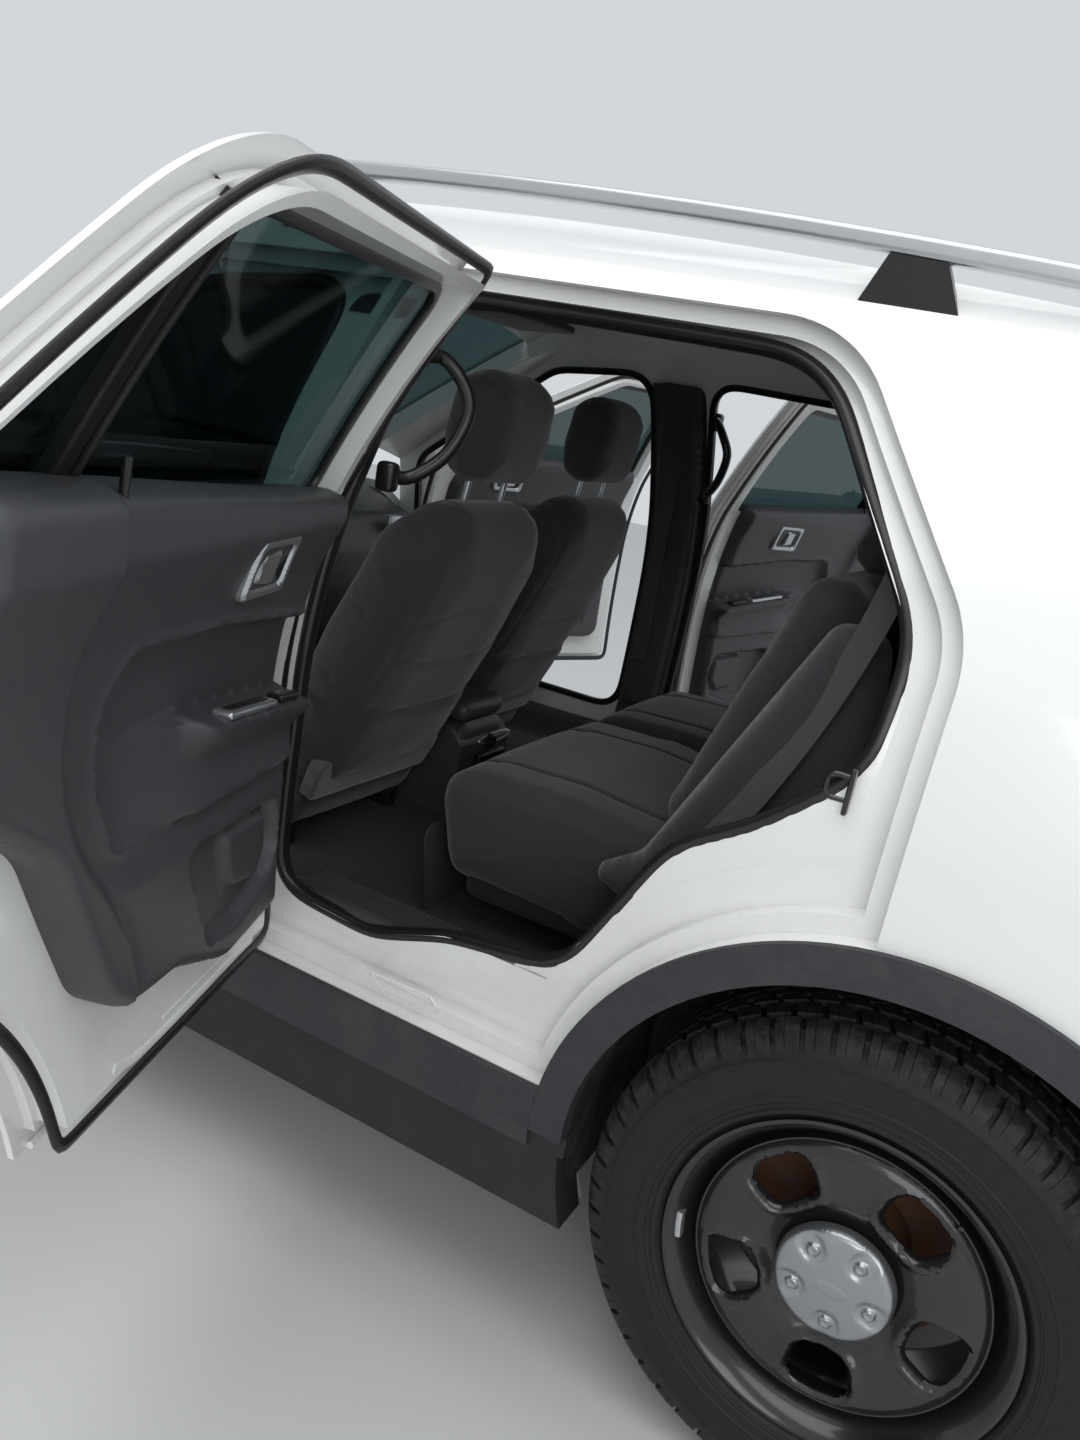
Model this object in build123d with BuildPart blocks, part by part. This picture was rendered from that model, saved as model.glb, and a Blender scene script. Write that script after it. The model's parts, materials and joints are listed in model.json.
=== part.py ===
"""A mid-size police SUV with four doors open, in millimetres.

+X is forward, +Y is left and +Z is up. The origin is on the ground, midway along the length.
"""

import os
from math import cos, radians, sin

from build123d import *

os.makedirs("parts", exist_ok=True)

# Overall sizes
nose_x = 2503.0
tail_x = -2503.0
front_axle_x = 1556.0
rear_axle_x = -1304.0
track = 1702.0
tyre_radius = 381.0
tyre_width = 240.0
rim_radius = 229.0
rim_flange_radius = 246.0
rim_width = 218.0

# Body surface
crest_x = -250.0
side_bend = 24000.0
roof_z = 1784.0
roof_crest_x = -200.0
roof_bend = 11000.0
roof_crown = 30.0
belt_z = 1245.0
belt_y = 942.0
widest_z = 930.0
widest_y = 990.0
sill_z = 365.0
sill_y = 950.0
cant_z = 1640.0
cant_y = 735.0
roof_side_z = 1768.0
roof_side_y = 604.0
crown_y = 620.0
floor_cut_z = 250.0
nose_bend = 3000.0
tail_bend = 3500.0
screen_bend = 2600.0
cowl_x = 1290.0
cowl_split_x = 1235.0
header_x = 330.0
hood_bend = 6500.0
hood_crest = (906.0, 1175.0)

# Walls and gaps
shut_gap = 6.0
flange_step = 28.0
core_step = 38.0
jamb_step = 28.0
pocket_shift = 30.0
seat_gap = 0.3

# Doors
pillar_x = -168.0
front_door_x = 884.0
door_bottom_z = 480.0
hinge_back = 36.0
hinge_y = 976.0
rear_door_open = 71.0
front_door_open = 68.0
hinge_heights = (760.0, 980.0)
hinge_pin = 4.0
hinge_half = 30.0
arm_half = 14.0

# Wheel arches
arch_z = 401.0
arch_inner = 438.0
arch_outer = 494.0


def side_prism(corners, low_y, high_y):
    """A prism along Y of a closed outline; each corner is (x, z, corner radius)."""
    with BuildPart() as prism:
        with BuildSketch(Plane.XZ.offset(-low_y)):
            with BuildLine():
                FilletPolyline(*[(x, z) for x, z, r in corners], radius=[r for x, z, r in corners],
                               close=True)
            make_face()
        extrude(amount=low_y - high_y)
    return prism.part


def plan_prism(corners, low_z, high_z):
    """A prism along Z of a closed outline; each corner is (x, y, corner radius)."""
    with BuildPart() as prism:
        with BuildSketch(Plane.XY.offset(low_z)):
            with BuildLine():
                FilletPolyline(*[(x, y) for x, y, r in corners], radius=[r for x, y, r in corners],
                               close=True)
            make_face()
        extrude(amount=high_z - low_z)
    return prism.part


def cross_prism(corners, low_x, high_x):
    """A prism along X of a closed outline; each corner is (y, z, corner radius)."""
    with BuildPart() as prism:
        with BuildSketch(Plane.YZ.offset(low_x)):
            with BuildLine():
                FilletPolyline(*[(y, z) for y, z, r in corners], radius=[r for y, z, r in corners],
                               close=True)
            make_face()
        extrude(amount=high_x - low_x)
    return prism.part


def block(low, high):
    """A block between two corners."""
    with BuildPart() as box:
        with Locations([(Vector(*low) + Vector(*high)) / 2]):
            Box(*(h - l for l, h in zip(low, high)))
    return box.part


def disc(centre_x, centre_z, radius, low_y, high_y):
    """A round bar along Y."""
    with BuildPart() as bar:
        with BuildSketch(Plane.XZ.offset(-low_y)):
            with Locations([(centre_x, centre_z)]):
                Circle(radius)
        extrude(amount=low_y - high_y)
    return bar.part


def other_side(piece):
    return piece.mirror(Plane.XZ)


def bent_plane(crest, bend, turn):
    """The section plane turned back about an axis below, with its origin on the crest arc."""
    crest_at_x, crest_at_z = crest
    lean = radians(turn)
    return Plane(origin=(crest_at_x - bend * sin(lean), 0, crest_at_z - bend * (1 - cos(lean))),
                 x_dir=(0, 1, 0), z_dir=(cos(lean), 0, sin(lean)))


def side_sweep(inset):
    """The cross-section of the body, swept along its gentle arc from end to end."""
    turn = 7.5
    low = 150 - roof_z
    belt = (belt_y - inset, belt_z - roof_z)
    cant = (cant_y - inset, cant_z - 0.3 * inset - roof_z)
    half_way = (848 - inset, 1447 - roof_z)
    top = (roof_side_y - 0.5 * inset, roof_side_z - inset - roof_z)
    with BuildPart() as form:
        with BuildSketch(bent_plane((crest_x, roof_z), side_bend, turn)):
            with BuildLine():
                lower = ThreePointArc((sill_y - inset, sill_z - roof_z), (979 - inset, 620 - roof_z),
                                      (widest_y - inset, widest_z - roof_z))
                shoulder = TangentArc(lower @ 1, belt, tangent=lower % 1)
                side = ThreePointArc(shoulder @ 1, half_way, cant)
                TangentArc(side @ 1, top, tangent=side % 1)
                Polyline(top, (top[0] - 20, 60), (0, 60))
                Polyline((0, low), (915 - inset, low), (sill_y - 20 - inset, sill_z - 115 - roof_z),
                         lower @ 0)
                mirror(about=Plane.YZ)
            make_face()
        revolve(axis=Axis((crest_x, 0, roof_z - side_bend), (0, 1, 0)), revolution_arc=2 * turn)
    return form.part


def roof_keep(inset):
    """Everything under the roof, which falls away towards the tail."""
    edge = -roof_crown * (1000 / crown_y) ** 2 - inset
    middle = edge / 4 - 0.75 * inset
    with BuildPart() as keep:
        with BuildSketch(bent_plane((roof_crest_x, roof_z), roof_bend, 14)):
            with BuildLine():
                ThreePointArc((-1000, edge), (-500, middle), (0, -inset))
                ThreePointArc((0, -inset), (500, middle), (1000, edge))
                Polyline((1000, edge), (1150, edge - 60), (1150, -1700), (-1150, -1700),
                         (-1150, edge - 60), (-1000, edge))
            make_face()
        revolve(axis=Axis((roof_crest_x, 0, roof_z - roof_bend), (0, 1, 0)), revolution_arc=26)
    return keep.part


def cabin_form(inset):
    """The body behind the windscreen's base as one solid, brought in by inset."""
    with BuildPart() as form:
        add(side_sweep(inset))
        add(roof_keep(inset), mode=Mode.INTERSECT)
        add(tail_keep(inset), mode=Mode.INTERSECT)
        add(plan_keep(inset), mode=Mode.INTERSECT)
        add(screen_keep(inset), mode=Mode.INTERSECT)
        split(bisect_by=Plane.YZ.offset(cowl_split_x), keep=Keep.BOTTOM)
    return form.part


def front_form(inset):
    """The body ahead of the windscreen's base as one solid, brought in by inset."""
    with BuildPart() as form:
        add(side_sweep(inset))
        add(nose_keep(inset), mode=Mode.INTERSECT)
        add(plan_keep(inset), mode=Mode.INTERSECT)
        add(hood_keep(inset), mode=Mode.INTERSECT)
        split(bisect_by=Plane.YZ.offset(front_door_x - 60), keep=Keep.TOP)
    return form.part


def nose_keep(inset):
    """Everything behind the curved front end."""
    axis_x = nose_x - nose_bend
    tip = nose_x - inset
    with BuildPart() as keep:
        with BuildSketch(Plane.XZ):
            with BuildLine():
                chin = ThreePointArc((tip - 120, 240), (tip - 27, 400), (tip, 560))
                grille_line = TangentArc(chin @ 1, (tip - 55, 880), tangent=chin % 1)
                Polyline(grille_line @ 1, (tip - 150, 1010), (tip - 150, 2200), (axis_x, 2200),
                         (axis_x, 100), (tip - 160, 100), chin @ 0)
            make_face()
        revolve(axis=Axis((axis_x, 0, 0), (0, 0, 1)))
    return keep.part.rotate(Axis((axis_x, 0, 0), (0, 0, 1)), 180)


def tail_keep(inset):
    """Everything ahead of the curved rear end."""
    axis_x = tail_x + tail_bend
    tip = tail_x + inset
    with BuildPart() as keep:
        with BuildSketch(Plane.XZ):
            with BuildLine():
                low = ThreePointArc((tip + 90, 280), (tip + 27, 420), (tip, 600))
                step = Polyline(low @ 1, (tip + 12, 740), (tip + 62, 760))
                gate = ThreePointArc(step @ 1, (tip + 66, 960), (tip + 160, 1180))
                Polyline(gate @ 1, (tip + 331, 1590), (tip + 305, 1632), (tip + 305, 1900),
                         (axis_x, 1900), (axis_x, 100), (tip + 120, 100), low @ 0)
            make_face()
        revolve(axis=Axis((axis_x, 0, 0), (0, 0, 1)))
    return keep.part.rotate(Axis((axis_x, 0, 0), (0, 0, 1)), 180)


def plan_keep(inset):
    """The outline from above, which rounds the four corners."""
    half = [(nose_x + 97, 420, 0), (nose_x - 90, 800, 260), (nose_x - 480, 960, 500),
            (nose_x - 900, 1100, 0), (tail_x + 900, 1100, 0), (tail_x + 420, 985, 500),
            (tail_x + 85, 870, 220), (tail_x - 97, 420, 0)]
    corners = half + [(x, -y, r) for x, y, r in reversed(half)]
    with BuildPart() as keep:
        with BuildSketch(Plane.XY):
            with BuildLine():
                FilletPolyline(*[(x, y) for x, y, r in corners], radius=[r for x, y, r in corners],
                               close=True)
            make_face()
            if inset:
                offset(amount=-inset)
        extrude(amount=2300)
    return keep.part


def hood_keep(inset):
    """Everything under the hood's crown."""
    side = 960 - inset
    drop = -150 - 0.6 * inset
    with BuildPart() as keep:
        with BuildSketch(bent_plane(hood_crest, hood_bend, 8)):
            with BuildLine():
                crown = ThreePointArc((-640, -24 - inset), (0, -inset), (640, -24 - inset))
                edge = TangentArc(crown @ 1, (side, drop), tangent=crown % 1)
                Polyline(edge @ 1, (1150, drop - 180), (1150, -1600), (-1150, -1600),
                         (-1150, drop - 180), (-side, drop))
                TangentArc(crown @ 0, (-side, drop), tangent=(crown % 0) * -1)
            make_face()
        revolve(axis=Axis((hood_crest[0], 0, hood_crest[1] - hood_bend), (0, 1, 0)),
                revolution_arc=26)
    return keep.part


def screen_keep(inset):
    """Everything behind the windscreen and under the roof's front edge."""
    axis_x = cowl_x - screen_bend
    back = 0.52 * inset
    down = 0.85 * inset
    foot = (cowl_x - back, 1130 - down)
    with BuildPart() as keep:
        with BuildSketch(Plane.XZ):
            with BuildLine():
                screen = ThreePointArc(foot, (822 - back, 1434 - down), (header_x - back, 1716 - down))
                header = ThreePointArc(screen @ 1, (110 - back, 1781 - down), (-150, 1812 - down))
                Polyline(header @ 1, (-150, 1900), (axis_x, 1900), (axis_x, 100),
                         (cowl_x - back, 100), foot)
            make_face()
        revolve(axis=Axis((axis_x, 0, 0), (0, 0, 1)))
    return keep.part.rotate(Axis((axis_x, 0, 0), (0, 0, 1)), 180)


def ring(centre_x, radius, outer, low_y, high_y):
    """A round band along Y about a wheel arch."""
    with BuildPart() as band:
        add(disc(centre_x, arch_z, outer, low_y, high_y))
        add(disc(centre_x, arch_z, radius, low_y - 1, high_y + 1), mode=Mode.SUBTRACT)
    return band.part


def layer(form, outer, inner):
    """The part of the body between two insets."""
    with BuildPart() as shell:
        add(form[outer])
        add(form[inner], mode=Mode.SUBTRACT)
    return shell.part


def shrunk(corners, gap, low_y=300, high_y=1150):
    """A prism of an outline brought in by a gap."""
    with BuildPart() as prism:
        with BuildSketch(Plane.XZ.offset(-low_y)):
            with BuildLine():
                FilletPolyline(*[(x, z) for x, z, r in corners], radius=[r for x, z, r in corners],
                               close=True)
            make_face()
            offset(amount=-gap)
        extrude(amount=low_y - high_y)
    return prism.part


def save(builder, name):
    """Label a finished piece and write it."""
    builder.part.label = name
    export_step(builder.part, f"parts/{name}.step")


# The body at each depth that a piece starts or ends at
cabin = {depth: cabin_form(depth) for depth in (-12, 0, 8, 14, 19, 22, 31, 45, 60, 63, 70, 105)}
front = {depth: front_form(depth) for depth in (-12, 0, 25)}

rear_hinge_x = pillar_x + 3 - hinge_back
front_hinge_x = front_door_x - hinge_back
jack_pads = (-780, 790)

# Outlines seen from the side, as x, z and corner radius
rear_door_outline = [(pillar_x + 3, door_bottom_z, 20), (pillar_x + 3, 1240, 400),
                     (pillar_x - 27, 1648, 15), (-967, 1640, 220), (-1243, 1278, 190),
                     (-1238, door_bottom_z, 0)]
rear_opening = [(-240, 580, 60), (-262, 1604, 60), (-925, 1592, 190), (-1178, 1240, 150),
                (-1172, 622, 0), (-600, 622, 90), (-450, 565, 90)]
rear_window = [(-236, 1262, 12), (-250, 1592, 25), (-943, 1582, 175), (-1168, 1296, 18)]
front_door_outline = [(pillar_x - 3, door_bottom_z, 20), (front_door_x, door_bottom_z, 60),
                      (front_door_x, 1262, 60), (262, 1642, 160), (pillar_x - 33, 1648, 15),
                      (pillar_x - 3, 1240, 400)]
front_opening = [(-75, 580, 60), (800, 580, 90), (800, 1222, 80), (243, 1572, 110),
                 (-70, 1604, 60)]
front_window = [(-96, 1258, 12), (-88, 1592, 25), (225, 1590, 100), (735, 1270, 20)]
quarter_window = [(-1500, 1325, 50), (-1250, 1585, 55), (-1930, 1535, 60), (-2040, 1345, 60)]
door_side = 300
far_side = 1150
arch_cut = 447.0
rear_door_arch = arch_outer + shut_gap
rear_opening_arch = 578.0

# Body sides: pillars, sills and quarter panels
rear_arch_x = rear_axle_x - 14
front_arch_x = front_axle_x + 4
bumper_side = [(-2600, 240, 0), (-1700, 240, 0), (-1700, 560, 0), (-1860, 760, 0), (-2600, 766, 0)]
lamp_side = [(-2600, 900, 0), (-2268, 900, 0), (-2200, 1130, 0), (-2600, 1130, 0)]
fender_side = [(front_door_x, 200, 0), (1300, 200, 0), (1300, 1120, 0), (front_door_x, 1262, 0)]
fender_top_side = [(front_door_x, 988, 0), (1300, 988, 0), (1300, 1120, 0), (front_door_x, 1262, 0)]
roof_edge = 632
plan_side = [(tail_x - 20, 698, 0), (-2100, 698, 0), (-2040, roof_edge, 0), (header_x, roof_edge, 0),
             (cowl_split_x + 5, 780, 0), (cowl_split_x + 5, far_side, 0), (tail_x - 20, far_side, 0)]


def door_rooms(outline, arched):
    """The shallow room that a shut left door takes from the body, and the deep one inside it."""
    inner = shrunk(outline, jamb_step, door_side, far_side)
    step_arch = arch_outer + (jamb_step if arched else 0)
    with BuildPart() as shallow:
        add(side_prism(outline, door_side, far_side))
        add(cabin[31], mode=Mode.SUBTRACT)
        add(disc(rear_arch_x, arch_z, arch_outer, door_side, far_side), mode=Mode.SUBTRACT)
    with BuildPart() as deep:
        add(inner)
        add(inner.moved(Location((pocket_shift, 0, 0))))
        add(disc(rear_arch_x, arch_z, step_arch, door_side, far_side), mode=Mode.SUBTRACT)
        add(cabin[63], mode=Mode.SUBTRACT)
    return shallow.part, deep.part


def hinge_arm(axis_x):
    """The fixed half of a left door's two hinges: a pin on an arm from the pillar."""
    with BuildPart() as arm:
        for height in hinge_heights:
            with Locations((axis_x, hinge_y, height)):
                Cylinder(hinge_pin, 2 * hinge_half)
            add(block((axis_x - hinge_pin, 880, height - arm_half),
                      (axis_x + hinge_pin, hinge_y, height + arm_half)))
        add(cabin[70], mode=Mode.SUBTRACT)
    return arm.part


with BuildPart() as opening_left:
    add(side_prism(front_opening, door_side, far_side))
    add(side_prism(rear_opening, door_side, far_side))
    add(disc(rear_arch_x, arch_z, rear_opening_arch, door_side, far_side), mode=Mode.SUBTRACT)

with BuildPart() as fender_room:
    add(side_prism(fender_side, door_side, far_side))
    add(cabin[31], mode=Mode.SUBTRACT)

with BuildPart() as side_left:
    add(layer(cabin, 0, 70))
    add(plan_prism(plan_side, floor_cut_z, 1900), mode=Mode.INTERSECT)
    for outline, arched in ((front_door_outline, False), (rear_door_outline, True)):
        for room in door_rooms(outline, arched):
            add(room, mode=Mode.SUBTRACT)
    add(opening_left.part, mode=Mode.SUBTRACT)
    add(side_prism(quarter_window, door_side, far_side), mode=Mode.SUBTRACT)
    add(disc(rear_arch_x, arch_z, arch_cut, door_side, far_side), mode=Mode.SUBTRACT)
    add(side_prism(bumper_side, door_side, far_side), mode=Mode.SUBTRACT)
    add(side_prism(lamp_side, 690, far_side), mode=Mode.SUBTRACT)
    add(fender_room.part, mode=Mode.SUBTRACT)
    add(block((960, 0, 0), (1300, 1200, 1120)), mode=Mode.SUBTRACT)
    add(side_prism(fender_top_side, door_side, far_side), mode=Mode.SUBTRACT)
    for axis_x in (rear_hinge_x, front_hinge_x):
        add(hinge_arm(axis_x))
    for pad_x in jack_pads:
        add(block((pad_x - 30, 880, floor_cut_z - 12), (pad_x + 30, 925, floor_cut_z + 1)))

with BuildPart() as body_sides:
    add(side_left.part)
    add(other_side(side_left.part))
save(body_sides, "body_sides")

# Roof, its lining and the liftgate
roof_side = roof_edge - seat_gap
roof_plan = [(-2100, -692, 0), (-2040, -roof_side, 0), (header_x - 6, -roof_side, 0),
             (header_x - 6, roof_side, 0), (-2040, roof_side, 0), (-2100, 692, 0)]
gate_axis = (-2110.0, 1612.0)
gate_pin = 5.0
gate_hinges = (-130, 130)
with BuildPart() as roof:
    add(layer(cabin, 0, 22))
    add(plan_prism(roof_plan, 1500, 1900), mode=Mode.INTERSECT)
    for hinge_at in gate_hinges:
        add(block((gate_axis[0] - 4, hinge_at - 10, gate_axis[1] - 7),
                  (-2092, hinge_at + 10, gate_axis[1] + 2)))
        add(disc(*gate_axis, gate_pin, hinge_at - 30, hinge_at + 30))
save(roof, "roof")

with BuildPart() as headliner:
    add(layer(cabin, 22, 31))
    add(block((-2040, -600, 1500), (250, 600, 1900)), mode=Mode.INTERSECT)
save(headliner, "headliner")

gate_glass = [(-590, 1215, 60), (590, 1215, 60), (556, 1508, 60), (-556, 1508, 60)]
with BuildPart() as liftgate:
    add(layer(cabin, 0, 45))
    add(block((tail_x - 20, -690, 772), (-2106, 690, 1900)), mode=Mode.INTERSECT)
    add(cross_prism(gate_glass, -2600, -2000), mode=Mode.SUBTRACT)
    for hinge_at in gate_hinges:
        add(block((gate_axis[0] - 10, hinge_at - 13, gate_axis[1] - 12),
                  (-2090, hinge_at + 13, 1700)), mode=Mode.SUBTRACT)
        add(disc(*gate_axis, gate_pin + seat_gap, hinge_at - 31, hinge_at + 31),
            mode=Mode.SUBTRACT)
save(liftgate, "liftgate")

with BuildPart() as liftgate_glass:
    add(layer(cabin, 14, 19))
    add(cross_prism([(y * 0.9995, z + (seat_gap if z < 1300 else -seat_gap), r)
                     for y, z, r in gate_glass], -2600, -2000), mode=Mode.INTERSECT)
save(liftgate_glass, "liftgate_glass")

# Glass that does not move
screen_plan = [(header_x + 1, -631.7, 0), (cowl_split_x, -778.8, 0), (cowl_split_x, 778.8, 0),
               (header_x + 1, 631.7, 0)]
with BuildPart() as windshield:
    add(layer(cabin, 8, 14))
    add(plan_prism(screen_plan, 1100, 1900), mode=Mode.INTERSECT)
save(windshield, "windshield")

with BuildPart() as quarter_left:
    add(layer(cabin, 14, 19))
    add(shrunk(quarter_window, seat_gap), mode=Mode.INTERSECT)
with BuildPart() as quarter_glass:
    add(quarter_left.part)
    add(other_side(quarter_left.part))
save(quarter_glass, "quarter_glass")

# Tail lamps and rear bumper
with BuildPart() as lamp_left:
    add(layer(cabin, 0, 60))
    add(shrunk(lamp_side, seat_gap, 700.3, far_side), mode=Mode.INTERSECT)
with BuildPart() as tail_lamps:
    add(lamp_left.part)
    add(other_side(lamp_left.part))
save(tail_lamps, "tail_lamps")

with BuildPart() as rear_bumper:
    add(layer(cabin, 0, 31))
    add(side_prism([(x, z - 1, r) for x, z, r in bumper_side], -far_side, far_side),
        mode=Mode.INTERSECT)
    add(disc(rear_arch_x, arch_z, arch_cut, -far_side, far_side), mode=Mode.SUBTRACT)
    add(block((-2600, -1100, 0), (-1500, 1100, 280)), mode=Mode.SUBTRACT)
save(rear_bumper, "rear_bumper")

# Front end
front_bumper_side = [(1960, 262, 0), (2600, 262, 0), (2600, 752, 0), (2230, 752, 0), (1960, 640, 0)]
with BuildPart() as front_shell:
    add(layer(front, 0, 25))

with BuildPart() as front_bumper:
    add(front_shell.part)
    add(side_prism(front_bumper_side, -far_side, far_side), mode=Mode.INTERSECT)
    add(disc(front_arch_x, arch_z, arch_cut, -far_side, far_side), mode=Mode.SUBTRACT)
    add(block((2200, -494, 600), (2600, 494, 760)), mode=Mode.SUBTRACT)
    add(block((2200, -560, 330), (2600, 560, 470)), mode=Mode.SUBTRACT)
save(front_bumper, "front_bumper")

with BuildPart() as grille:
    add(front_shell.part)
    add(block((2200, -493.7, 600.3), (2600, 493.7, 905)), mode=Mode.INTERSECT)
    for slot_z in (632, 698, 764, 830):
        for slot_y in (-462, -147, 168):
            add(block((2200, slot_y, slot_z), (2600, slot_y + 294, slot_z + 42)), mode=Mode.SUBTRACT)
save(grille, "grille")

with BuildPart() as headlamp_left:
    add(front_shell.part)
    add(block((2170, 495, 758), (2600, 1100, 905)), mode=Mode.INTERSECT)
with BuildPart() as headlamps:
    add(headlamp_left.part)
    add(other_side(headlamp_left.part))
save(headlamps, "headlamps")

hood_axis = (1285.0, 1120.0)
hood_pin = 5.0
hood_hinges = (-390, 390)
with BuildPart() as hood:
    add(front_shell.part)
    add(block((1262, -757, 911), (2600, 757, 1400)), mode=Mode.INTERSECT)
    for hinge_at in hood_hinges:
        add(block((hood_axis[0] - 9, hinge_at - 10, hood_axis[1] - 9),
                  (hood_axis[0] + 9, hinge_at + 10, hood_axis[1] + 18)))
        add(disc(*hood_axis, hood_pin + seat_gap, hinge_at - 11, hinge_at + 11),
            mode=Mode.SUBTRACT)
save(hood, "hood")

with BuildPart() as fender_left:
    add(front_shell.part)
    add(block((front_door_x + 0.3, 763, floor_cut_z), (2600, 1100, 1400)), mode=Mode.INTERSECT)
    add(side_prism([(x, z + (0.5 if z > 500 else 0), r) for x, z, r in front_bumper_side],
                   -far_side, far_side), mode=Mode.SUBTRACT)
    add(block((2169.5, 494, 740), (2600, 1100, 905.5)), mode=Mode.SUBTRACT)
    add(disc(front_arch_x, arch_z, arch_cut, -far_side, far_side), mode=Mode.SUBTRACT)
    add(side_prism([(front_door_x - 20, 1267, 0), (1300, 1119, 0), (1300, 1500, 0),
                    (front_door_x - 20, 1500, 0)], -far_side, far_side), mode=Mode.SUBTRACT)
    add(block((1100, 0, 1100), (cowl_split_x + 5, 790, 1400)), mode=Mode.SUBTRACT)
with BuildPart() as fenders:
    add(fender_left.part)
    add(other_side(fender_left.part))
save(fenders, "fenders")

# Dark lower cladding: sill covers and arch flares
flare_foot_z = 400
sill_cover_low = 368
sill_cover_high = door_bottom_z - 2


def flare(form, arch_x, turn_depth):
    """The raised lip of a wheel arch with its turned-in edge."""
    with BuildPart() as lip:
        add(layer(form, -12, 0))
        add(ring(arch_x, arch_inner, arch_outer, door_side, far_side), mode=Mode.INTERSECT)
        add(block((-3000, 0, 0), (3000, 1200, flare_foot_z)), mode=Mode.SUBTRACT)
    with BuildPart() as turn_in:
        add(layer(form, 0, turn_depth))
        add(ring(arch_x, arch_inner, arch_cut - seat_gap, door_side, far_side), mode=Mode.INTERSECT)
        add(block((-3000, 0, 0), (3000, 1200, flare_foot_z)), mode=Mode.SUBTRACT)
    with BuildPart() as whole:
        add(lip.part)
        add(turn_in.part)
    return whole.part


with BuildPart() as sill_cover:
    add(layer(cabin, -12, 0))
    add(side_prism([(-870, sill_cover_low, 8), (1110, sill_cover_low, 8), (1110, sill_cover_high, 8),
                    (-870, sill_cover_high, 8)], door_side, far_side), mode=Mode.INTERSECT)
    add(disc(rear_arch_x, arch_z, arch_outer + 0.5, door_side, far_side), mode=Mode.SUBTRACT)
    add(disc(front_arch_x, arch_z, arch_outer + 0.5, door_side, far_side), mode=Mode.SUBTRACT)

with BuildPart() as lower_cladding:
    for piece in (flare(cabin, rear_arch_x, 22), flare(front, front_arch_x, 25), sill_cover.part):
        add(piece)
        add(other_side(piece))
save(lower_cladding, "lower_cladding")

# Wheel-arch liners
liner_out = arch_cut - seat_gap
liner_in = liner_out - 4
with BuildPart() as liner_rear:
    add(ring(rear_arch_x, liner_in, liner_out, 600, far_side))
    add(disc(rear_arch_x, arch_z, liner_out, 596, 600))
    add(cabin[31], mode=Mode.INTERSECT)
    add(block((-2600, 0, 0), (2600, 1200, 300)), mode=Mode.SUBTRACT)
    add(block((-1600, 590, 0), (-990, 601, 560)), mode=Mode.SUBTRACT)
with BuildPart() as liner_front:
    add(ring(front_arch_x, liner_in, liner_out, 505, far_side))
    add(disc(front_arch_x, arch_z, liner_out, 501, 505))
    add(front[25], mode=Mode.INTERSECT)
    add(block((-2600, 0, 0), (2600, 1200, 300)), mode=Mode.SUBTRACT)
    add(block((1200, 490, 0), (1900, 506, 560)), mode=Mode.SUBTRACT)
    add(cross_prism([(500, 560, 0), (640, 560, 0), (640, 900, 0), (500, 900, 0)], 1480, 1640),
        mode=Mode.SUBTRACT)
with BuildPart() as arch_liners:
    for piece in (liner_rear.part, liner_front.part):
        add(piece)
        add(other_side(piece))
save(arch_liners, "arch_liners")

# Floor, tunnel, bulkhead and load floor
with BuildPart() as floor_pan:
    with BuildSketch(Plane.XZ.offset(900)):
        with BuildLine():
            FilletPolyline((1236, 1096), (1150, 1096), (1150, 620), (1010, 440), (-640, 440),
                           (-760, 520), (-1010, 640), (-2400, 640), (-2400, 760), (-2388, 760),
                           (-2388, 652), (-1000, 652), (-752, 532), (-632, 452), (1004, 452),
                           (1138, 624), (1138, 1108), (1236, 1108), radius=0, close=True)
        make_face()
    extrude(amount=-1800)
    add(cabin[70], mode=Mode.INTERSECT)
    for side in (-1, 1):
        add(disc(rear_arch_x, arch_z, arch_cut, min(side * 594, side * 1100),
                 max(side * 594, side * 1100)), mode=Mode.SUBTRACT)
        add(disc(front_arch_x, arch_z, arch_cut, min(side * 494, side * 1100),
                 max(side * 494, side * 1100)), mode=Mode.SUBTRACT)
    for hinge_at in hood_hinges:
        side = 1 if hinge_at > 0 else -1
        low_y, high_y = sorted((hinge_at + side * 11, hinge_at + side * 22))
        add(block((1150, low_y, 1086), (hood_axis[0] + 7, high_y, 1098)))
        add(block((hood_axis[0] - 7, low_y, 1086), (hood_axis[0] + 7, high_y, hood_axis[1])))
        add(disc(*hood_axis, 7, low_y, high_y))
        add(disc(*hood_axis, hood_pin, *sorted((hinge_at - side * 12, hinge_at + side * 22))))
save(floor_pan, "floor_pan")

# Heavy and hanging pieces underneath
with BuildPart() as engine_block:
    with Locations((1720, 0, 640)):
        Box(480, 520, 460)
save(engine_block, "engine_block")

with BuildPart() as fuel_tank:
    with Locations((-700, -160, 364.7)):
        Box(520, 620, 150)
    fillet(fuel_tank.edges(), 30)
save(fuel_tank, "fuel_tank")

with BuildPart() as exhaust:
    with BuildLine():
        pipe_line = FilletPolyline((1479.7, -150, 480), (1350, -150, 480), (1250, -170, 330),
                                   (1100, -200, 330), (-500, 230, 330),
                                   (-1000, 230, 430), (-1650, 230, 430), (-1850, 330, 400),
                                   (-2250, 330, 400), (-2340, 330, 248), (-2440, 330, 248), radius=60)
    with BuildSketch(Plane(origin=pipe_line @ 0, z_dir=pipe_line % 0)):
        Circle(28)
    sweep()
    with Locations((-2040, 330, 400)):
        Box(380, 260, 170)
    for hanger_x in (-2180, -1900):
        with Locations((hanger_x, 330, 560)):
            Cylinder(8, 159.4)
save(exhaust, "exhaust")


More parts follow.
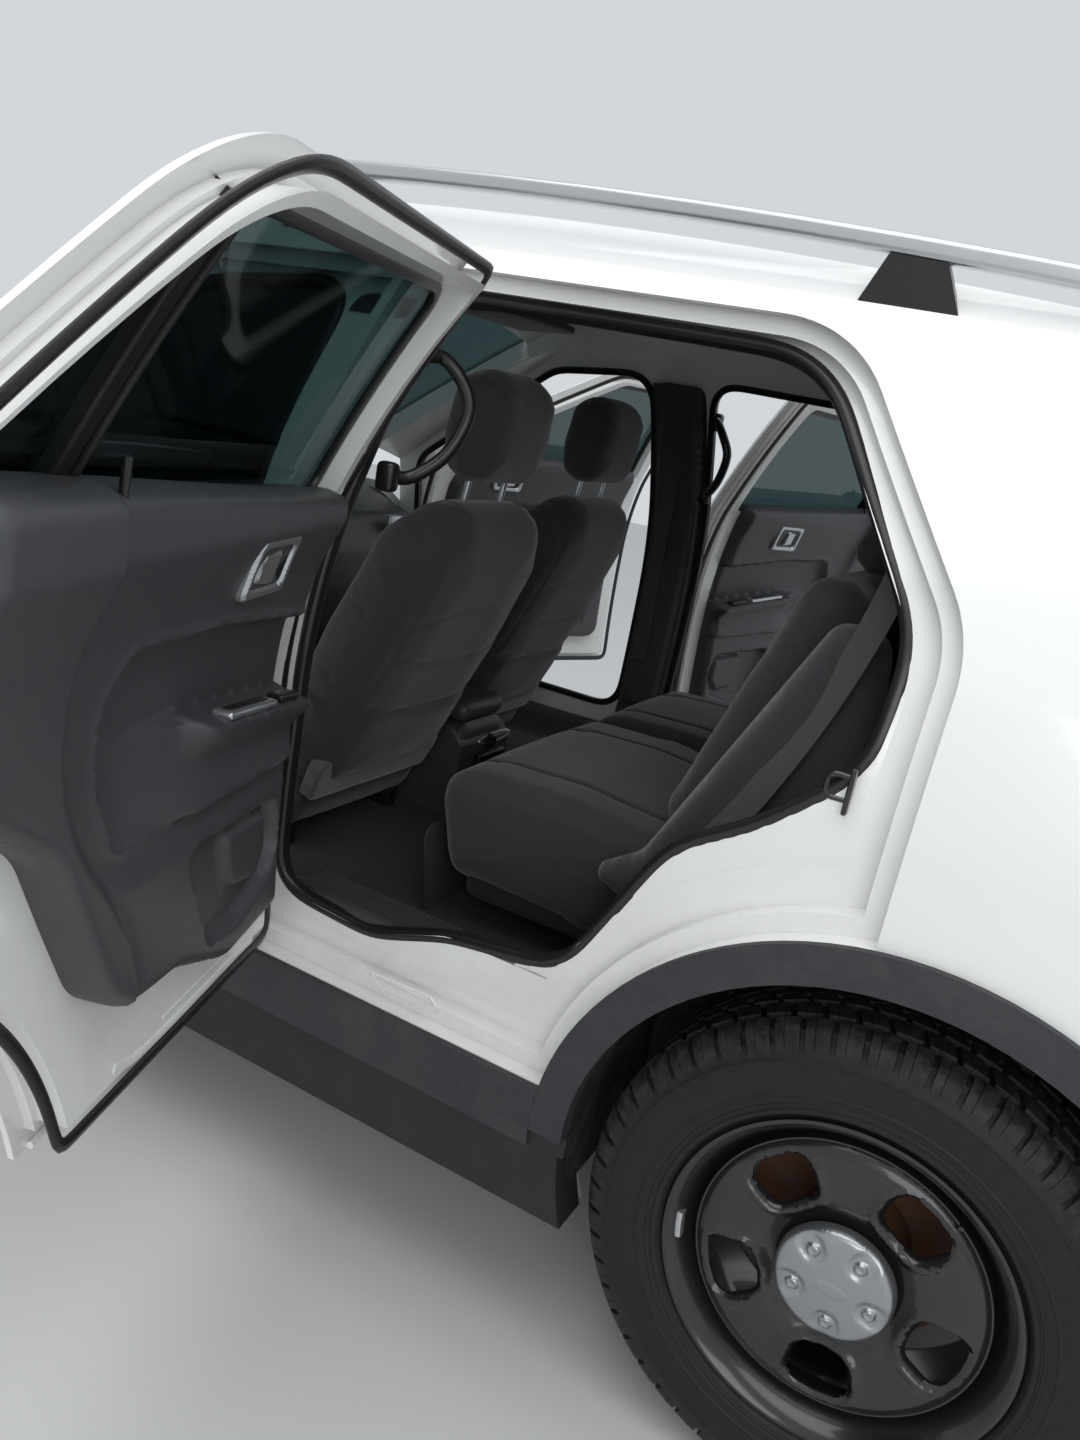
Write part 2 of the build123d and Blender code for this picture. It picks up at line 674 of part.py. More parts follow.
def beam(start, end, wide, high):
    """A straight square beam between two points."""
    with BuildPart() as bar:
        with BuildSketch(Plane(origin=start, z_dir=Vector(*end) - Vector(*start))):
            Rectangle(wide, high)
        extrude(amount=(Vector(*end) - Vector(*start)).length)
    return bar.part


def rod(start, end, radius):
    """A straight round bar between two points."""
    with BuildPart() as bar:
        with BuildSketch(Plane(origin=start, z_dir=Vector(*end) - Vector(*start))):
            Circle(radius)
        extrude(amount=(Vector(*end) - Vector(*start)).length)
    return bar.part


def ball_seat(at_x, at_y, radius, low_z, high_z):
    """A round upright bar."""
    with BuildPart() as bar:
        with Locations((at_x, at_y, (low_z + high_z) / 2)):
            Cylinder(radius, high_z - low_z)
    return bar.part


steer_y = 760.0
steer_pin = 10.0
hub_face_y = 769.7
with BuildPart() as front_half:
    add(block((1380, 0, 270), (1450, 420, 350)))
    add(block((1700, 0, 270), (1770, 420, 350)))
    add(block((1380, 360, 270), (1770, 430, 350)))
    add(beam((1420, 420, 300), (1540, 660, 238), 40, 34))
    add(beam((1730, 420, 300), (1572, 660, 238), 40, 34))
    add(rod((1560, 575, 420), (1560, 560, 1010), 55))
    add(rod((1560, 575, 330), (1560, 575, 430), 25))
    add(beam((1560, 425, 310), (1560, 590, 335), 50, 50))
    add(block((1524, 640, 222), (1588, 760, 250)))
    add(ball_seat(front_axle_x, steer_y, 22, 222, 250))
    add(block((1770, 360, 290), (2330, 430, 350)))
    add(block((1500, 200, 350), (1560, 400, 409.7)))
    add(block((1700, 200, 340), (1770, 260, 409.7)))
    add(ball_seat(front_axle_x, steer_y, steer_pin + seat_gap, 200, 260), mode=Mode.SUBTRACT)
with BuildPart() as rear_half:
    add(block((-1360, 0, 300), (-1250, 540, 380)))
    add(beam((-1305, 520, 340), (-1305, 690, 340), 90, 70))
    add(block((-1370, 680, 250), (-1240, 730, 510)))
    add(disc(rear_axle_x, tyre_radius, 60, 725, hub_face_y))
    add(rod((-1330, 525, 340), (-1330, 525, 639.7), 40))
    add(beam((-1250, 700, 360), (-1000, 555, 360), 60, 60))
    add(beam((-1000, 555, 360), (-820, 555, 400), 60, 60))
with BuildPart() as subframes:
    for piece in (front_half.part, rear_half.part):
        add(piece)
        add(other_side(piece))
save(subframes, "subframes")


with BuildPart() as knuckle:
    add(block((front_axle_x - 60, 690, 280), (front_axle_x + 60, 735, 500)))
    add(disc(front_axle_x, tyre_radius, 60, 730, hub_face_y))
    add(beam((front_axle_x, 712, 490), (front_axle_x, 690, 600), 50, 40))
    add(block((front_axle_x - 18, 700, 258), (front_axle_x + 18, 777, 315)))
    add(ball_seat(front_axle_x, steer_y, steer_pin, 226, 262))
    add(block((front_axle_x - 165, 690, 300), (front_axle_x - 50, 735, 340)))
for name, piece in (("knuckle_left", knuckle.part), ("knuckle_right", other_side(knuckle.part))):
    with BuildPart() as upright:
        add(piece)
    save(upright, name)


# Wheels
half_track = track / 2
cap_radius = 84.0


def rim_solid(axle_x, side):
    """A steel wheel with its barrel, dished disc, hub cap and brake disc."""
    inner = half_track - rim_width / 2
    outer = half_track + rim_width / 2
    profile = [(rim_flange_radius, outer), (rim_flange_radius - 6, outer),
               (rim_radius - 11, outer - 24), (rim_radius - 15, outer - 58),
               (rim_radius - 23, outer - 60), (202, half_track + 80), (194, half_track + 89),
               (178, half_track + 90), (120, half_track + 85), (104, half_track + 75),
               (86, half_track + 71), (cap_radius, half_track + 89), (cap_radius, half_track + 97),
               (76, half_track + 102), (40, half_track + 105), (0, half_track + 106),
               (0, 770), (58, 770), (58, 788), (160, 788), (160, 812), (80, 812), (80, half_track + 60),
               (110, half_track + 68), (176, half_track + 78), (192, half_track + 70),
               (rim_radius - 27, outer - 68), (rim_radius - 22, outer - 74), (rim_radius - 20, inner + 30),
               (rim_radius - 8, inner), (rim_flange_radius, inner),
               (rim_flange_radius, inner + 8), (rim_radius, inner + 16), (rim_radius, inner + 60),
               (rim_radius - 10, inner + 90), (rim_radius - 10, outer - 80),
               (rim_radius, outer - 50), (rim_radius, outer - 16), (rim_flange_radius, outer - 8)]
    with BuildPart() as rim:
        with BuildSketch(Plane.XY):
            with BuildLine():
                Polyline(*[(r, y) for r, y in profile], close=True)
            make_face()
        revolve(axis=Axis.Y)
        with BuildSketch(Plane.XZ.offset(-(half_track + 40))):
            with PolarLocations(150, 5, start_angle=49):
                SlotOverall(94, 56, rotation=90)
        extrude(amount=-60, mode=Mode.SUBTRACT)
    placed = rim.part.moved(Location((axle_x, 0, tyre_radius)))
    return placed if side > 0 else placed.mirror(Plane.XZ)


def tyre_solid(axle_x, side):
    """A plain round tyre on its rim."""
    mid = half_track
    half = tyre_width / 2
    bead = rim_radius + seat_gap
    with BuildPart() as tyre:
        with BuildSketch(Plane.XY):
            with BuildLine():
                Polyline((bead, mid - rim_width / 2 + 20), (rim_flange_radius + 2, mid - rim_width / 2 + 8.5),
                         (rim_flange_radius + 14, mid - half + 6), (310, mid - half),
                         (350, mid - half + 8), (370, mid - half + 22), (tyre_radius - 3, mid - half + 38),
                         (tyre_radius, mid - 50), (tyre_radius, mid + 50),
                         (tyre_radius - 3, mid + half - 38), (370, mid + half - 22),
                         (350, mid + half - 8), (310, mid + half), (rim_flange_radius + 14, mid + half - 6),
                         (rim_flange_radius + 2, mid + rim_width / 2 - 8.5), (bead, mid + rim_width / 2 - 20),
                         close=True)
            make_face()
        revolve(axis=Axis.Y)
    placed = tyre.part.moved(Location((axle_x, 0, tyre_radius)))
    return placed if side > 0 else placed.mirror(Plane.XZ)


for corner, axle_x, side in (("front_left", front_axle_x, 1), ("front_right", front_axle_x, -1),
                             ("rear_left", rear_axle_x, 1), ("rear_right", rear_axle_x, -1)):
    with BuildPart() as rim_piece:
        add(rim_solid(axle_x, side))
    save(rim_piece, f"rim_{corner}")
    with BuildPart() as tyre_piece:
        add(tyre_solid(axle_x, side))
    save(tyre_piece, f"tyre_{corner}")


# Cabin
wheel_centre = Plane(origin=(560, 370, 1000), z_dir=(-cos(radians(22)), 0, sin(radians(22))))
with BuildPart() as dashboard:
    with BuildSketch(Plane.XZ.offset(720)):
        with BuildLine():
            FilletPolyline((1137.7, 1085), (900, 1110), (700, 1050), (650, 950), (700, 820), (780, 640),
                           (1000, 560), (1122, 640), radius=[0, 30, 60, 40, 30, 60, 40, 0], close=True)
        make_face()
    extrude(amount=-1440)
    with BuildSketch(wheel_centre.offset(-90.3)):
        Circle(38)
    extrude(amount=-110)
save(dashboard, "dashboard")

with BuildPart() as centre_console:
    with BuildSketch(Plane.XZ.offset(115)):
        with BuildLine():
            FilletPolyline((660, 452.3), (660, 700), (300, 640), (-60, 690), (-110, 640), (-110, 452.3),
                           radius=[0, 40, 60, 40, 20, 0], close=True)
        make_face()
    extrude(amount=-230)
save(centre_console, "centre_console")

seat_y = 370.0
right_seat_forward = 120.0
with BuildPart() as seat:
    with BuildSketch(Plane.XZ.offset(-(seat_y - 240))):
        with BuildLine():
            FilletPolyline((20, 500), (500, 500), (520, 650), (110, 630), (-150, 1235), (-268, 1248),
                           (-20, 740), (-10, 560), radius=[30, 40, 50, 40, 50, 40, 60, 30], close=True)
        make_face()
    extrude(amount=-480)
    with BuildSketch(Plane.XZ.offset(-(seat_y - 130))):
        with BuildLine():
            FilletPolyline((-165, 1290), (-150, 1500), (-280, 1510), (-290, 1290),
                           radius=[30, 40, 40, 30], close=True)
        make_face()
    extrude(amount=-260)
    for post_y in (seat_y - 70, seat_y + 70):
        add(rod((-215, post_y, 1230), (-225, post_y, 1300), 7))
    for leg_y in (seat_y - 165, seat_y + 165):
        add(block((60, leg_y - 15, 452.3), (460, leg_y + 15, 520)))
with BuildPart() as front_seats:
    add(seat.part)
    add(other_side(seat.part).moved(Location((right_seat_forward, 0, 0))))
save(front_seats, "front_seats")

with BuildPart() as rear_seat:
    with BuildSketch(Plane.XZ.offset(590)):
        with BuildLine():
            FilletPolyline((-400, 452.3), (-358, 590), (-345, 775), (-800, 765), (-990, 1285),
                           (-1110, 1295), (-1020, 800), (-1000, 652.3), (-752, 532.3), (-632, 452.3),
                           radius=[20, 40, 50, 60, 45, 45, 40, 0, 0, 0], close=True)
        make_face()
    extrude(amount=-1180)
    for headrest_y in (-380, 0, 380):
        with Locations((-1062, headrest_y, 1350)):
            Box(95, 240, 160)
save(rear_seat, "rear_seat")

with BuildPart() as quarter_trim:
    add(layer(cabin, 70, 105))
    add(block((-2095, 0, 652.3), (-1190, 1200, 1560)), mode=Mode.INTERSECT)
    add(disc(rear_arch_x, arch_z, arch_cut + 8, 0, 1200), mode=Mode.SUBTRACT)
    add(side_prism(quarter_window, door_side, far_side), mode=Mode.SUBTRACT)
with BuildPart() as pillar_trim:
    add(layer(cabin, 70, 105))
    add(block((-226, 0, 452.3), (-89, 1200, 1580)), mode=Mode.INTERSECT)
with BuildPart() as cabin_trim:
    for piece in (quarter_trim.part, pillar_trim.part):
        add(piece)
        add(other_side(piece))
save(cabin_trim, "cabin_trim")

with BuildPart() as steering_wheel:
    with BuildSketch(Plane(origin=wheel_centre.origin + wheel_centre.x_dir * 178,
                           x_dir=wheel_centre.x_dir, z_dir=wheel_centre.y_dir)):
        Circle(15)
    revolve(axis=Axis(wheel_centre.origin, wheel_centre.z_dir))
    with BuildSketch(wheel_centre.offset(-30)):
        Circle(80)
    extrude(amount=45)
    with BuildSketch(wheel_centre.offset(-12)):
        Rectangle(350, 40)
        with Locations((0, 0)):
            Rectangle(40, 350)
    extrude(amount=14)
    with BuildSketch(wheel_centre.offset(-90)):
        Circle(30)
    extrude(amount=70)
save(steering_wheel, "steering_wheel")

# Roof rails, which follow the roof's fall
rail_y = 690.0
rail_top_z = 1799.0
rail_high = 28.0
rail_wide = 32.0
rail_bend = 13000.0
rail_crest_x = -60.0
rail_feet = ((-1900, 130), (-1020, 130), (10, 130))
with BuildPart() as rail_left:
    with BuildSketch(bent_plane((rail_crest_x, rail_top_z), rail_bend, 8.4)):
        with Locations((rail_y, -rail_high / 2)):
            RectangleRounded(rail_wide, rail_high, 9)
    revolve(axis=Axis((rail_crest_x, 0, rail_top_z - rail_bend), (0, 1, 0)), revolution_arc=9.2)
with BuildPart() as roof_rails:
    add(rail_left.part)
    add(other_side(rail_left.part))
save(roof_rails, "roof_rails")



def under_rail(at_x):
    """The height just under the roof rail."""
    below = ((rail_bend - rail_high) ** 2 - (at_x - rail_crest_x) ** 2) ** 0.5
    return rail_top_z - rail_bend + below - seat_gap


with BuildPart() as feet_left:
    for foot_x, foot_long in rail_feet:
        back_x = foot_x - foot_long / 2
        front_x = foot_x + foot_long / 2
        foot_z = under_rail(foot_x) - 100
        add(side_prism([(back_x - 20, foot_z, 0), (front_x + 20, foot_z, 0),
                        (front_x - 25, under_rail(front_x - 25), 0),
                        (back_x + 25, under_rail(back_x + 25), 0)], rail_y - 15, rail_y + 13))
    add(cabin[0], mode=Mode.SUBTRACT)
with BuildPart() as rail_feet_piece:
    add(feet_left.part)
    add(other_side(feet_left.part))
save(rail_feet_piece, "rail_feet")


# Doors, built shut and then swung open
def door_pieces(outline, opening, window, hinge_x, arched):
    """The panel, the inner trim and the glass of a left door, shut."""
    with BuildPart() as skin_sheet:
        add(shrunk(outline, shut_gap))
        add(cabin[0], mode=Mode.INTERSECT)
        add(cabin[8], mode=Mode.SUBTRACT)
    with BuildPart() as flange:
        add(shrunk(outline, shut_gap + flange_step))
        add(cabin[8], mode=Mode.INTERSECT)
        add(cabin[22], mode=Mode.SUBTRACT)
        if arched:
            add(disc(rear_arch_x, arch_z, rear_door_arch + flange_step, door_side, far_side),
                mode=Mode.SUBTRACT)
    with BuildPart() as core:
        add(shrunk(outline, shut_gap + core_step))
        add(cabin[22], mode=Mode.INTERSECT)
        add(cabin[60], mode=Mode.SUBTRACT)
        if arched:
            add(disc(rear_arch_x, arch_z, rear_door_arch + core_step, door_side, far_side),
                mode=Mode.SUBTRACT)
    with BuildPart() as lugs:
        for height in hinge_heights:
            for low_z in (height - hinge_half, height + arm_half + 2):
                add(ball_seat(hinge_x, hinge_y, 9, low_z, low_z + hinge_half - arm_half - 2))
        add(cabin[8], mode=Mode.INTERSECT)
    with BuildPart() as panel:
        add(skin_sheet.part)
        add(flange.part)
        add(core.part)
        for height in hinge_heights:
            add(block((hinge_x - 10, 900, height - arm_half - 2),
                      (hinge_x + 12, hinge_y + 4.6, height + arm_half + 2)), mode=Mode.SUBTRACT)
        add(lugs.part)
        for height in hinge_heights:
            add(ball_seat(hinge_x, hinge_y, hinge_pin + seat_gap, height - hinge_half - seat_gap,
                          height + hinge_half + seat_gap), mode=Mode.SUBTRACT)
        add(side_prism(window, door_side, far_side), mode=Mode.SUBTRACT)
        if arched:
            add(disc(rear_arch_x, arch_z, rear_door_arch, door_side, far_side), mode=Mode.SUBTRACT)
    with BuildPart() as trim:
        add(shrunk(opening, 18))
        add(cabin[60], mode=Mode.INTERSECT)
        add(cabin[105], mode=Mode.SUBTRACT)
        add(block((-1500, 0, 500), (1000, 1200, 1262)), mode=Mode.INTERSECT)
        if arched:
            add(disc(rear_arch_x, arch_z, rear_opening_arch + 18, door_side, far_side),
                mode=Mode.SUBTRACT)
    with BuildPart() as glass:
        add(shrunk(window, seat_gap))
        add(cabin[14], mode=Mode.INTERSECT)
        add(cabin[19], mode=Mode.SUBTRACT)
    return panel.part, trim.part, glass.part


with BuildPart() as mirror_left:
    with Locations((715, 1060, 1310)):
        Box(90, 200, 150)
    fillet(mirror_left.edges(), 28)
    add(block((705, 905, 1258), (760, 1000, 1290)))
    add(cabin[0], mode=Mode.SUBTRACT)

rear_hinge = Axis((rear_hinge_x, hinge_y, 0), (0, 0, 1))
front_hinge = Axis((front_hinge_x, hinge_y, 0), (0, 0, 1))
doors = {
    "rear": (door_pieces(rear_door_outline, rear_opening, rear_window, rear_hinge_x, True),
             rear_hinge, rear_door_open),
    "front": (door_pieces(front_door_outline, front_opening, front_window, front_hinge_x, False),
              front_hinge, front_door_open),
}
for row, (pieces, hinge, opened) in doors.items():
    for kind, piece in zip(("panel", "trim", "glass"), pieces):
        swung = piece.rotate(hinge, -opened)
        for side in ("left", "right"):
            with BuildPart() as door_piece:
                add(swung if side == "left" else other_side(swung))
            save(door_piece, f"door_{row}_{side}_{kind}")
for side in ("left", "right"):
    swung = mirror_left.part.rotate(front_hinge, -front_door_open)
    with BuildPart() as mirror_piece:
        add(swung if side == "left" else other_side(swung))
    save(mirror_piece, f"mirror_{side}")
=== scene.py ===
# %% [markdown]
# A police SUV, parked with its four doors open, seen from close behind its left rear wheel.
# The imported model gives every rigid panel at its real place. This notebook gives those panels their
# finishes, and models what a press shop or a trim shop would add: seats, seals, tyres and trim.

# %% Load the frame
import json
import math

import bmesh
import bpy
from mathutils import Matrix, Vector
from mathutils.bvhtree import BVHTree


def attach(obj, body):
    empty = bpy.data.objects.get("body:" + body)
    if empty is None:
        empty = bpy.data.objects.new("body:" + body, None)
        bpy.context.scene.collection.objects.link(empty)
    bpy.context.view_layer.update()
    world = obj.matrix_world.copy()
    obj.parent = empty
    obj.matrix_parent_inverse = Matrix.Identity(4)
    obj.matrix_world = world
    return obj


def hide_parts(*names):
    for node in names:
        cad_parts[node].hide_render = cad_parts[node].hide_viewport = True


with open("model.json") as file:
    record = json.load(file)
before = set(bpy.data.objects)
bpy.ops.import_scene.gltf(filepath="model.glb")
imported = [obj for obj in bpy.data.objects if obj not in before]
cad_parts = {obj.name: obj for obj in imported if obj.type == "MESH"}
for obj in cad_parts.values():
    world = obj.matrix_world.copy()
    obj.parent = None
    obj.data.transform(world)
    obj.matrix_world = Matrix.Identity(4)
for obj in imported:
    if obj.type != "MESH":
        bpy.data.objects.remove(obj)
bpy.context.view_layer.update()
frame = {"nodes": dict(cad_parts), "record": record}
nodes = frame["nodes"]
scene = bpy.context.scene

# %% [markdown]
# Shader maths reads best as plain arithmetic. One small class wraps a socket, and each operator adds
# the Math node that it stands for. Everything else comes from one method that takes a node's type.

# %% Shader arithmetic
class Field:
    """A number that varies over a surface."""

    def __init__(self, mat, socket):
        self.mat = mat
        self.socket = socket

    def math(self, operation, *others, clamp=False):
        return self.mat.node("ShaderNodeMath", {"operation": operation, "use_clamp": clamp},
                             *((self,) + others))

    def __add__(self, other):
        return self.math("ADD", other)

    __radd__ = __add__

    def __sub__(self, other):
        return self.math("SUBTRACT", other)

    def __rsub__(self, other):
        return (self * -1.0) + other

    def __mul__(self, other):
        return self.math("MULTIPLY", other)

    __rmul__ = __mul__

    def __truediv__(self, other):
        return self.math("DIVIDE", other)

    def __gt__(self, other):
        return self.math("GREATER_THAN", other)

    def __lt__(self, other):
        return self.math("LESS_THAN", other)

    def clip(self):
        return self.math("ADD", 0.0, clamp=True)


class Finish:
    """A material built from nodes, with its Principled shader."""

    def __init__(self, name, color, roughness, metallic=0.0, **fixed):
        self.material = bpy.data.materials.new(name)
        self.material.use_nodes = True
        self.tree = self.material.node_tree
        self.shader = self.tree.nodes["Principled BSDF"]
        self.set("Base Color", color)
        self.set("Roughness", roughness)
        self.set("Metallic", metallic)
        for socket, value in fixed.items():
            self.set(socket.replace("_", " "), value)

    def set(self, socket, value):
        target = self.shader.inputs[socket]
        if isinstance(value, Field):
            self.tree.links.new(value.socket, target)
        elif isinstance(value, tuple) and len(value) == 3:
            target.default_value = (*value, 1.0)
        else:
            target.default_value = value

    def node(self, kind, settings=None, *values, out=0, **named):
        made = self.tree.nodes.new(kind)
        for key, value in (settings or {}).items():
            setattr(made, key, value)
        for index, value in list(enumerate(values)) + list(named.items()):
            key = index if isinstance(index, int) else index.replace("_", " ")
            if isinstance(value, Field):
                self.tree.links.new(value.socket, made.inputs[key])
            else:
                made.inputs[key].default_value = value
        return Field(self, made.outputs[out])

    def place(self):
        return self.node("ShaderNodeTexCoord", out="Object")

    def axes(self):
        split = self.tree.nodes.new("ShaderNodeSeparateXYZ")
        self.tree.links.new(self.place().socket, split.inputs[0])
        return [Field(self, s) for s in split.outputs]

    def noise(self, scale, detail=4.0, roughness=0.55, stretch=None):
        where = self.place()
        if stretch:
            where = self.node("ShaderNodeMapping", None, where, Scale=stretch)
        return self.node("ShaderNodeTexNoise", None, Vector=where, Scale=scale, Detail=detail,
                         Roughness=roughness)

    def ramp(self, value, low, high):
        """0 below low and 1 above high, with a straight slope between."""
        return self.node("ShaderNodeMapRange", {"clamp": True}, value, low, high, 0.0, 1.0)

    def mix(self, factor, first, second):
        made = self.tree.nodes.new("ShaderNodeMix")
        made.data_type = "RGBA"
        colours = [s for s in made.inputs if s.type == "RGBA"]
        factors = [s for s in made.inputs if s.type == "VALUE"]
        if isinstance(factor, Field):
            self.tree.links.new(factor.socket, factors[0])
        else:
            factors[0].default_value = factor
        for target, value in zip(colours, (first, second)):
            if isinstance(value, Field):
                self.tree.links.new(value.socket, target)
            else:
                target.default_value = (*value, 1.0)
        return Field(self, [s for s in made.outputs if s.type == "RGBA"][0])

    def bump(self, height, distance, strength=1.0):
        made = self.node("ShaderNodeBump", None, Height=height, Distance=distance, Strength=strength)
        self.tree.links.new(made.socket, self.shader.inputs["Normal"])


print("shader arithmetic is ready: + - * / > < on a Field add Math nodes")


# %% [markdown]
# White body paint is glossy, but this vehicle works for a living. Low down the paint is dusty, with
# road dirt thrown up behind the wheels, so a grey-brown film grows towards the sills and roughens them.

# %% White paint
def dirty_white():
    mat = Finish("white_paint", (0.8, 0.8, 0.79), 0.22, Coat_Weight=0.6, Coat_Roughness=0.06)
    x, y, z = mat.axes()
    low = mat.ramp(z, 0.95, 0.3)
    blotches = mat.ramp(mat.noise(9.0, 6.0, 0.65), 0.42, 0.72)
    film = (low * blotches * 0.3 + low * 0.06).clip()
    mat.set("Base Color", mat.mix(film, (0.82, 0.82, 0.81), (0.36, 0.33, 0.29)))
    mat.set("Roughness", film * 0.5 + 0.2)
    return mat.material


print("white paint: road dirt fades in below 0.95 m and is full at 0.3 m")


# %% [markdown]
# The lower cladding is moulded plastic with a fine leather-like grain, faded to charcoal and dusty.

# %% Grained plastics
def grained(name, color, dust, roughness, grain=900.0, depth=0.0002, dust_color=(0.2, 0.18, 0.16)):
    mat = Finish(name, color, roughness)
    specks = mat.noise(grain, 2.0)
    cells = mat.node("ShaderNodeTexVoronoi", {"feature": "F1"}, Vector=mat.place(), Scale=grain * 0.7)
    film = mat.ramp(mat.noise(14.0, 6.0, 0.7), 0.45, 0.75) * dust
    mat.set("Base Color", mat.mix(film, color, dust_color))
    mat.set("Roughness", mat.noise(60.0) * 0.12 + (roughness - 0.06))
    mat.bump(specks * 0.5 + cells * 0.5, depth, 0.6)
    return mat.material


def plain_gloss(name, color, roughness, metallic=0.0, **fixed):
    mat = Finish(name, color, roughness, metallic, **fixed)
    mat.set("Roughness", mat.noise(35.0) * 0.08 + (roughness - 0.04))
    return mat.material


print("plastics: one grained function and one glossy one")


# %% [markdown]
# Tyre rubber is nearly black. Dried dirt lies in fine rings on the sidewall and greys the tread, so the
# dirt follows the distance from the axle, which both axles share once x is folded about their middle.

# %% Tyre rubber
axle_middle, half_wheelbase, axle_height = 0.126, 1.43, 0.381


def tyre_rubber():
    mat = Finish("tyre_rubber", (0.012, 0.0125, 0.013), 0.6, Specular_IOR_Level=0.25)
    x, y, z = mat.axes()
    along = (x - axle_middle).math("ABSOLUTE", 0.0) - half_wheelbase
    radius = (along * along + (z - axle_height) * (z - axle_height)).math("SQRT", 0.0)
    rings = (radius * 900.0).math("SINE", 0.0) * 0.5 + 0.5
    tread = mat.ramp(radius, 0.335, 0.37)
    grit = mat.ramp(mat.noise(60.0, 5.0, 0.7), 0.42, 0.75)
    film = (tread * (grit * 0.35 + 0.04) + grit * 0.05 + rings * mat.ramp(radius, 0.335, 0.25) * 0.03).clip()
    mat.set("Base Color", mat.mix(film, (0.012, 0.0125, 0.013), (0.12, 0.115, 0.108)))
    mat.set("Roughness", film * 0.3 + 0.52)
    mat.bump(mat.noise(420.0, 2.0), 0.00015, 0.5)
    return mat.material


print("tyre dirt: rings about axles", 2 * half_wheelbase, "m apart,", axle_height, "m up")


# %% [markdown]
# Car glass is thin and tinted, so it hardly bends light. A mix of a transparent shader, which carries
# the tint, and a little gloss shows that with less noise than real refraction through a solid pane.

# %% Glass
def tinted_glass(name, color, darkness):
    mat = Finish(name, color, 0.02, Transmission_Weight=1.0, IOR=1.1)
    mat.set("Base Color", color)
    smear = mat.ramp(mat.noise(5.0, 5.0, 0.7), 0.5, 0.9)
    mat.set("Roughness", smear * 0.05 + 0.01)
    see = mat.tree.nodes.new("ShaderNodeBsdfTransparent")
    see.inputs[0].default_value = (*color, 1.0)
    blend = mat.tree.nodes.new("ShaderNodeMixShader")
    blend.inputs[0].default_value = darkness
    out = mat.tree.nodes["Material Output"]
    mat.tree.links.new(see.outputs[0], blend.inputs[1])
    gloss = mat.tree.nodes.new("ShaderNodeBsdfGlossy")
    gloss.inputs["Roughness"].default_value = 0.03
    mat.tree.links.new(gloss.outputs[0], blend.inputs[2])
    mat.tree.links.new(blend.outputs[0], out.inputs[0])
    return mat.material


print("glass: a tint for", [n for n in nodes if n.endswith("glass")])


# %% [markdown]
# Bare steel under a car rusts in spots that grow together. A noise pattern cut by a colour ramp gives
# the spots, and the same pattern makes them rougher, because rust doesn't shine.

# %% Steel and rust
def rusty(name, clean, rust, amount):
    mat = Finish(name, clean, 0.6, 0.4)
    spots = mat.ramp(mat.noise(40.0, 8.0, 0.7), 0.5 - amount * 0.3, 0.62)
    mat.set("Base Color", mat.mix(spots, clean, rust))
    mat.set("Roughness", spots * 0.35 + 0.5)
    mat.bump(mat.noise(220.0, 4.0), 0.0004)
    return mat.material


print("rust: a clean colour, a rust colour and how far it has spread")


# %% [markdown]
# Seat cloth, carpet and webbing differ mostly in how coarse they are. One function takes a scale: a
# diagonal band pattern stands for the threads, and sheen catches light along the edges of a seat.

# %% Cloth
def cloth(name, color, scale=900.0, sheen=0.3):
    mat = Finish(name, color, 0.9, Sheen_Weight=sheen, Sheen_Roughness=0.5)
    x, y, z = mat.axes()
    weave = mat.node("ShaderNodeTexWave", {"wave_type": "BANDS", "bands_direction": "DIAGONAL"},
                     Vector=mat.place(), Scale=scale * 0.35, Distortion=0.4)
    tone = mat.noise(scale * 0.4, 3.0)
    mat.set("Base Color", mat.mix(mat.ramp(tone, 0.3, 0.75), tuple(c * 0.6 for c in color), color))
    mat.bump(weave * 0.5 + tone * 0.5, 0.0006, 0.5)
    return mat.material


print("cloth: a colour, a thread scale and a sheen")


# %% [markdown]
# Every node of the model names a slot. A dictionary from slot to finish keeps all colours in one
# place, and a loop hands each panel its own.

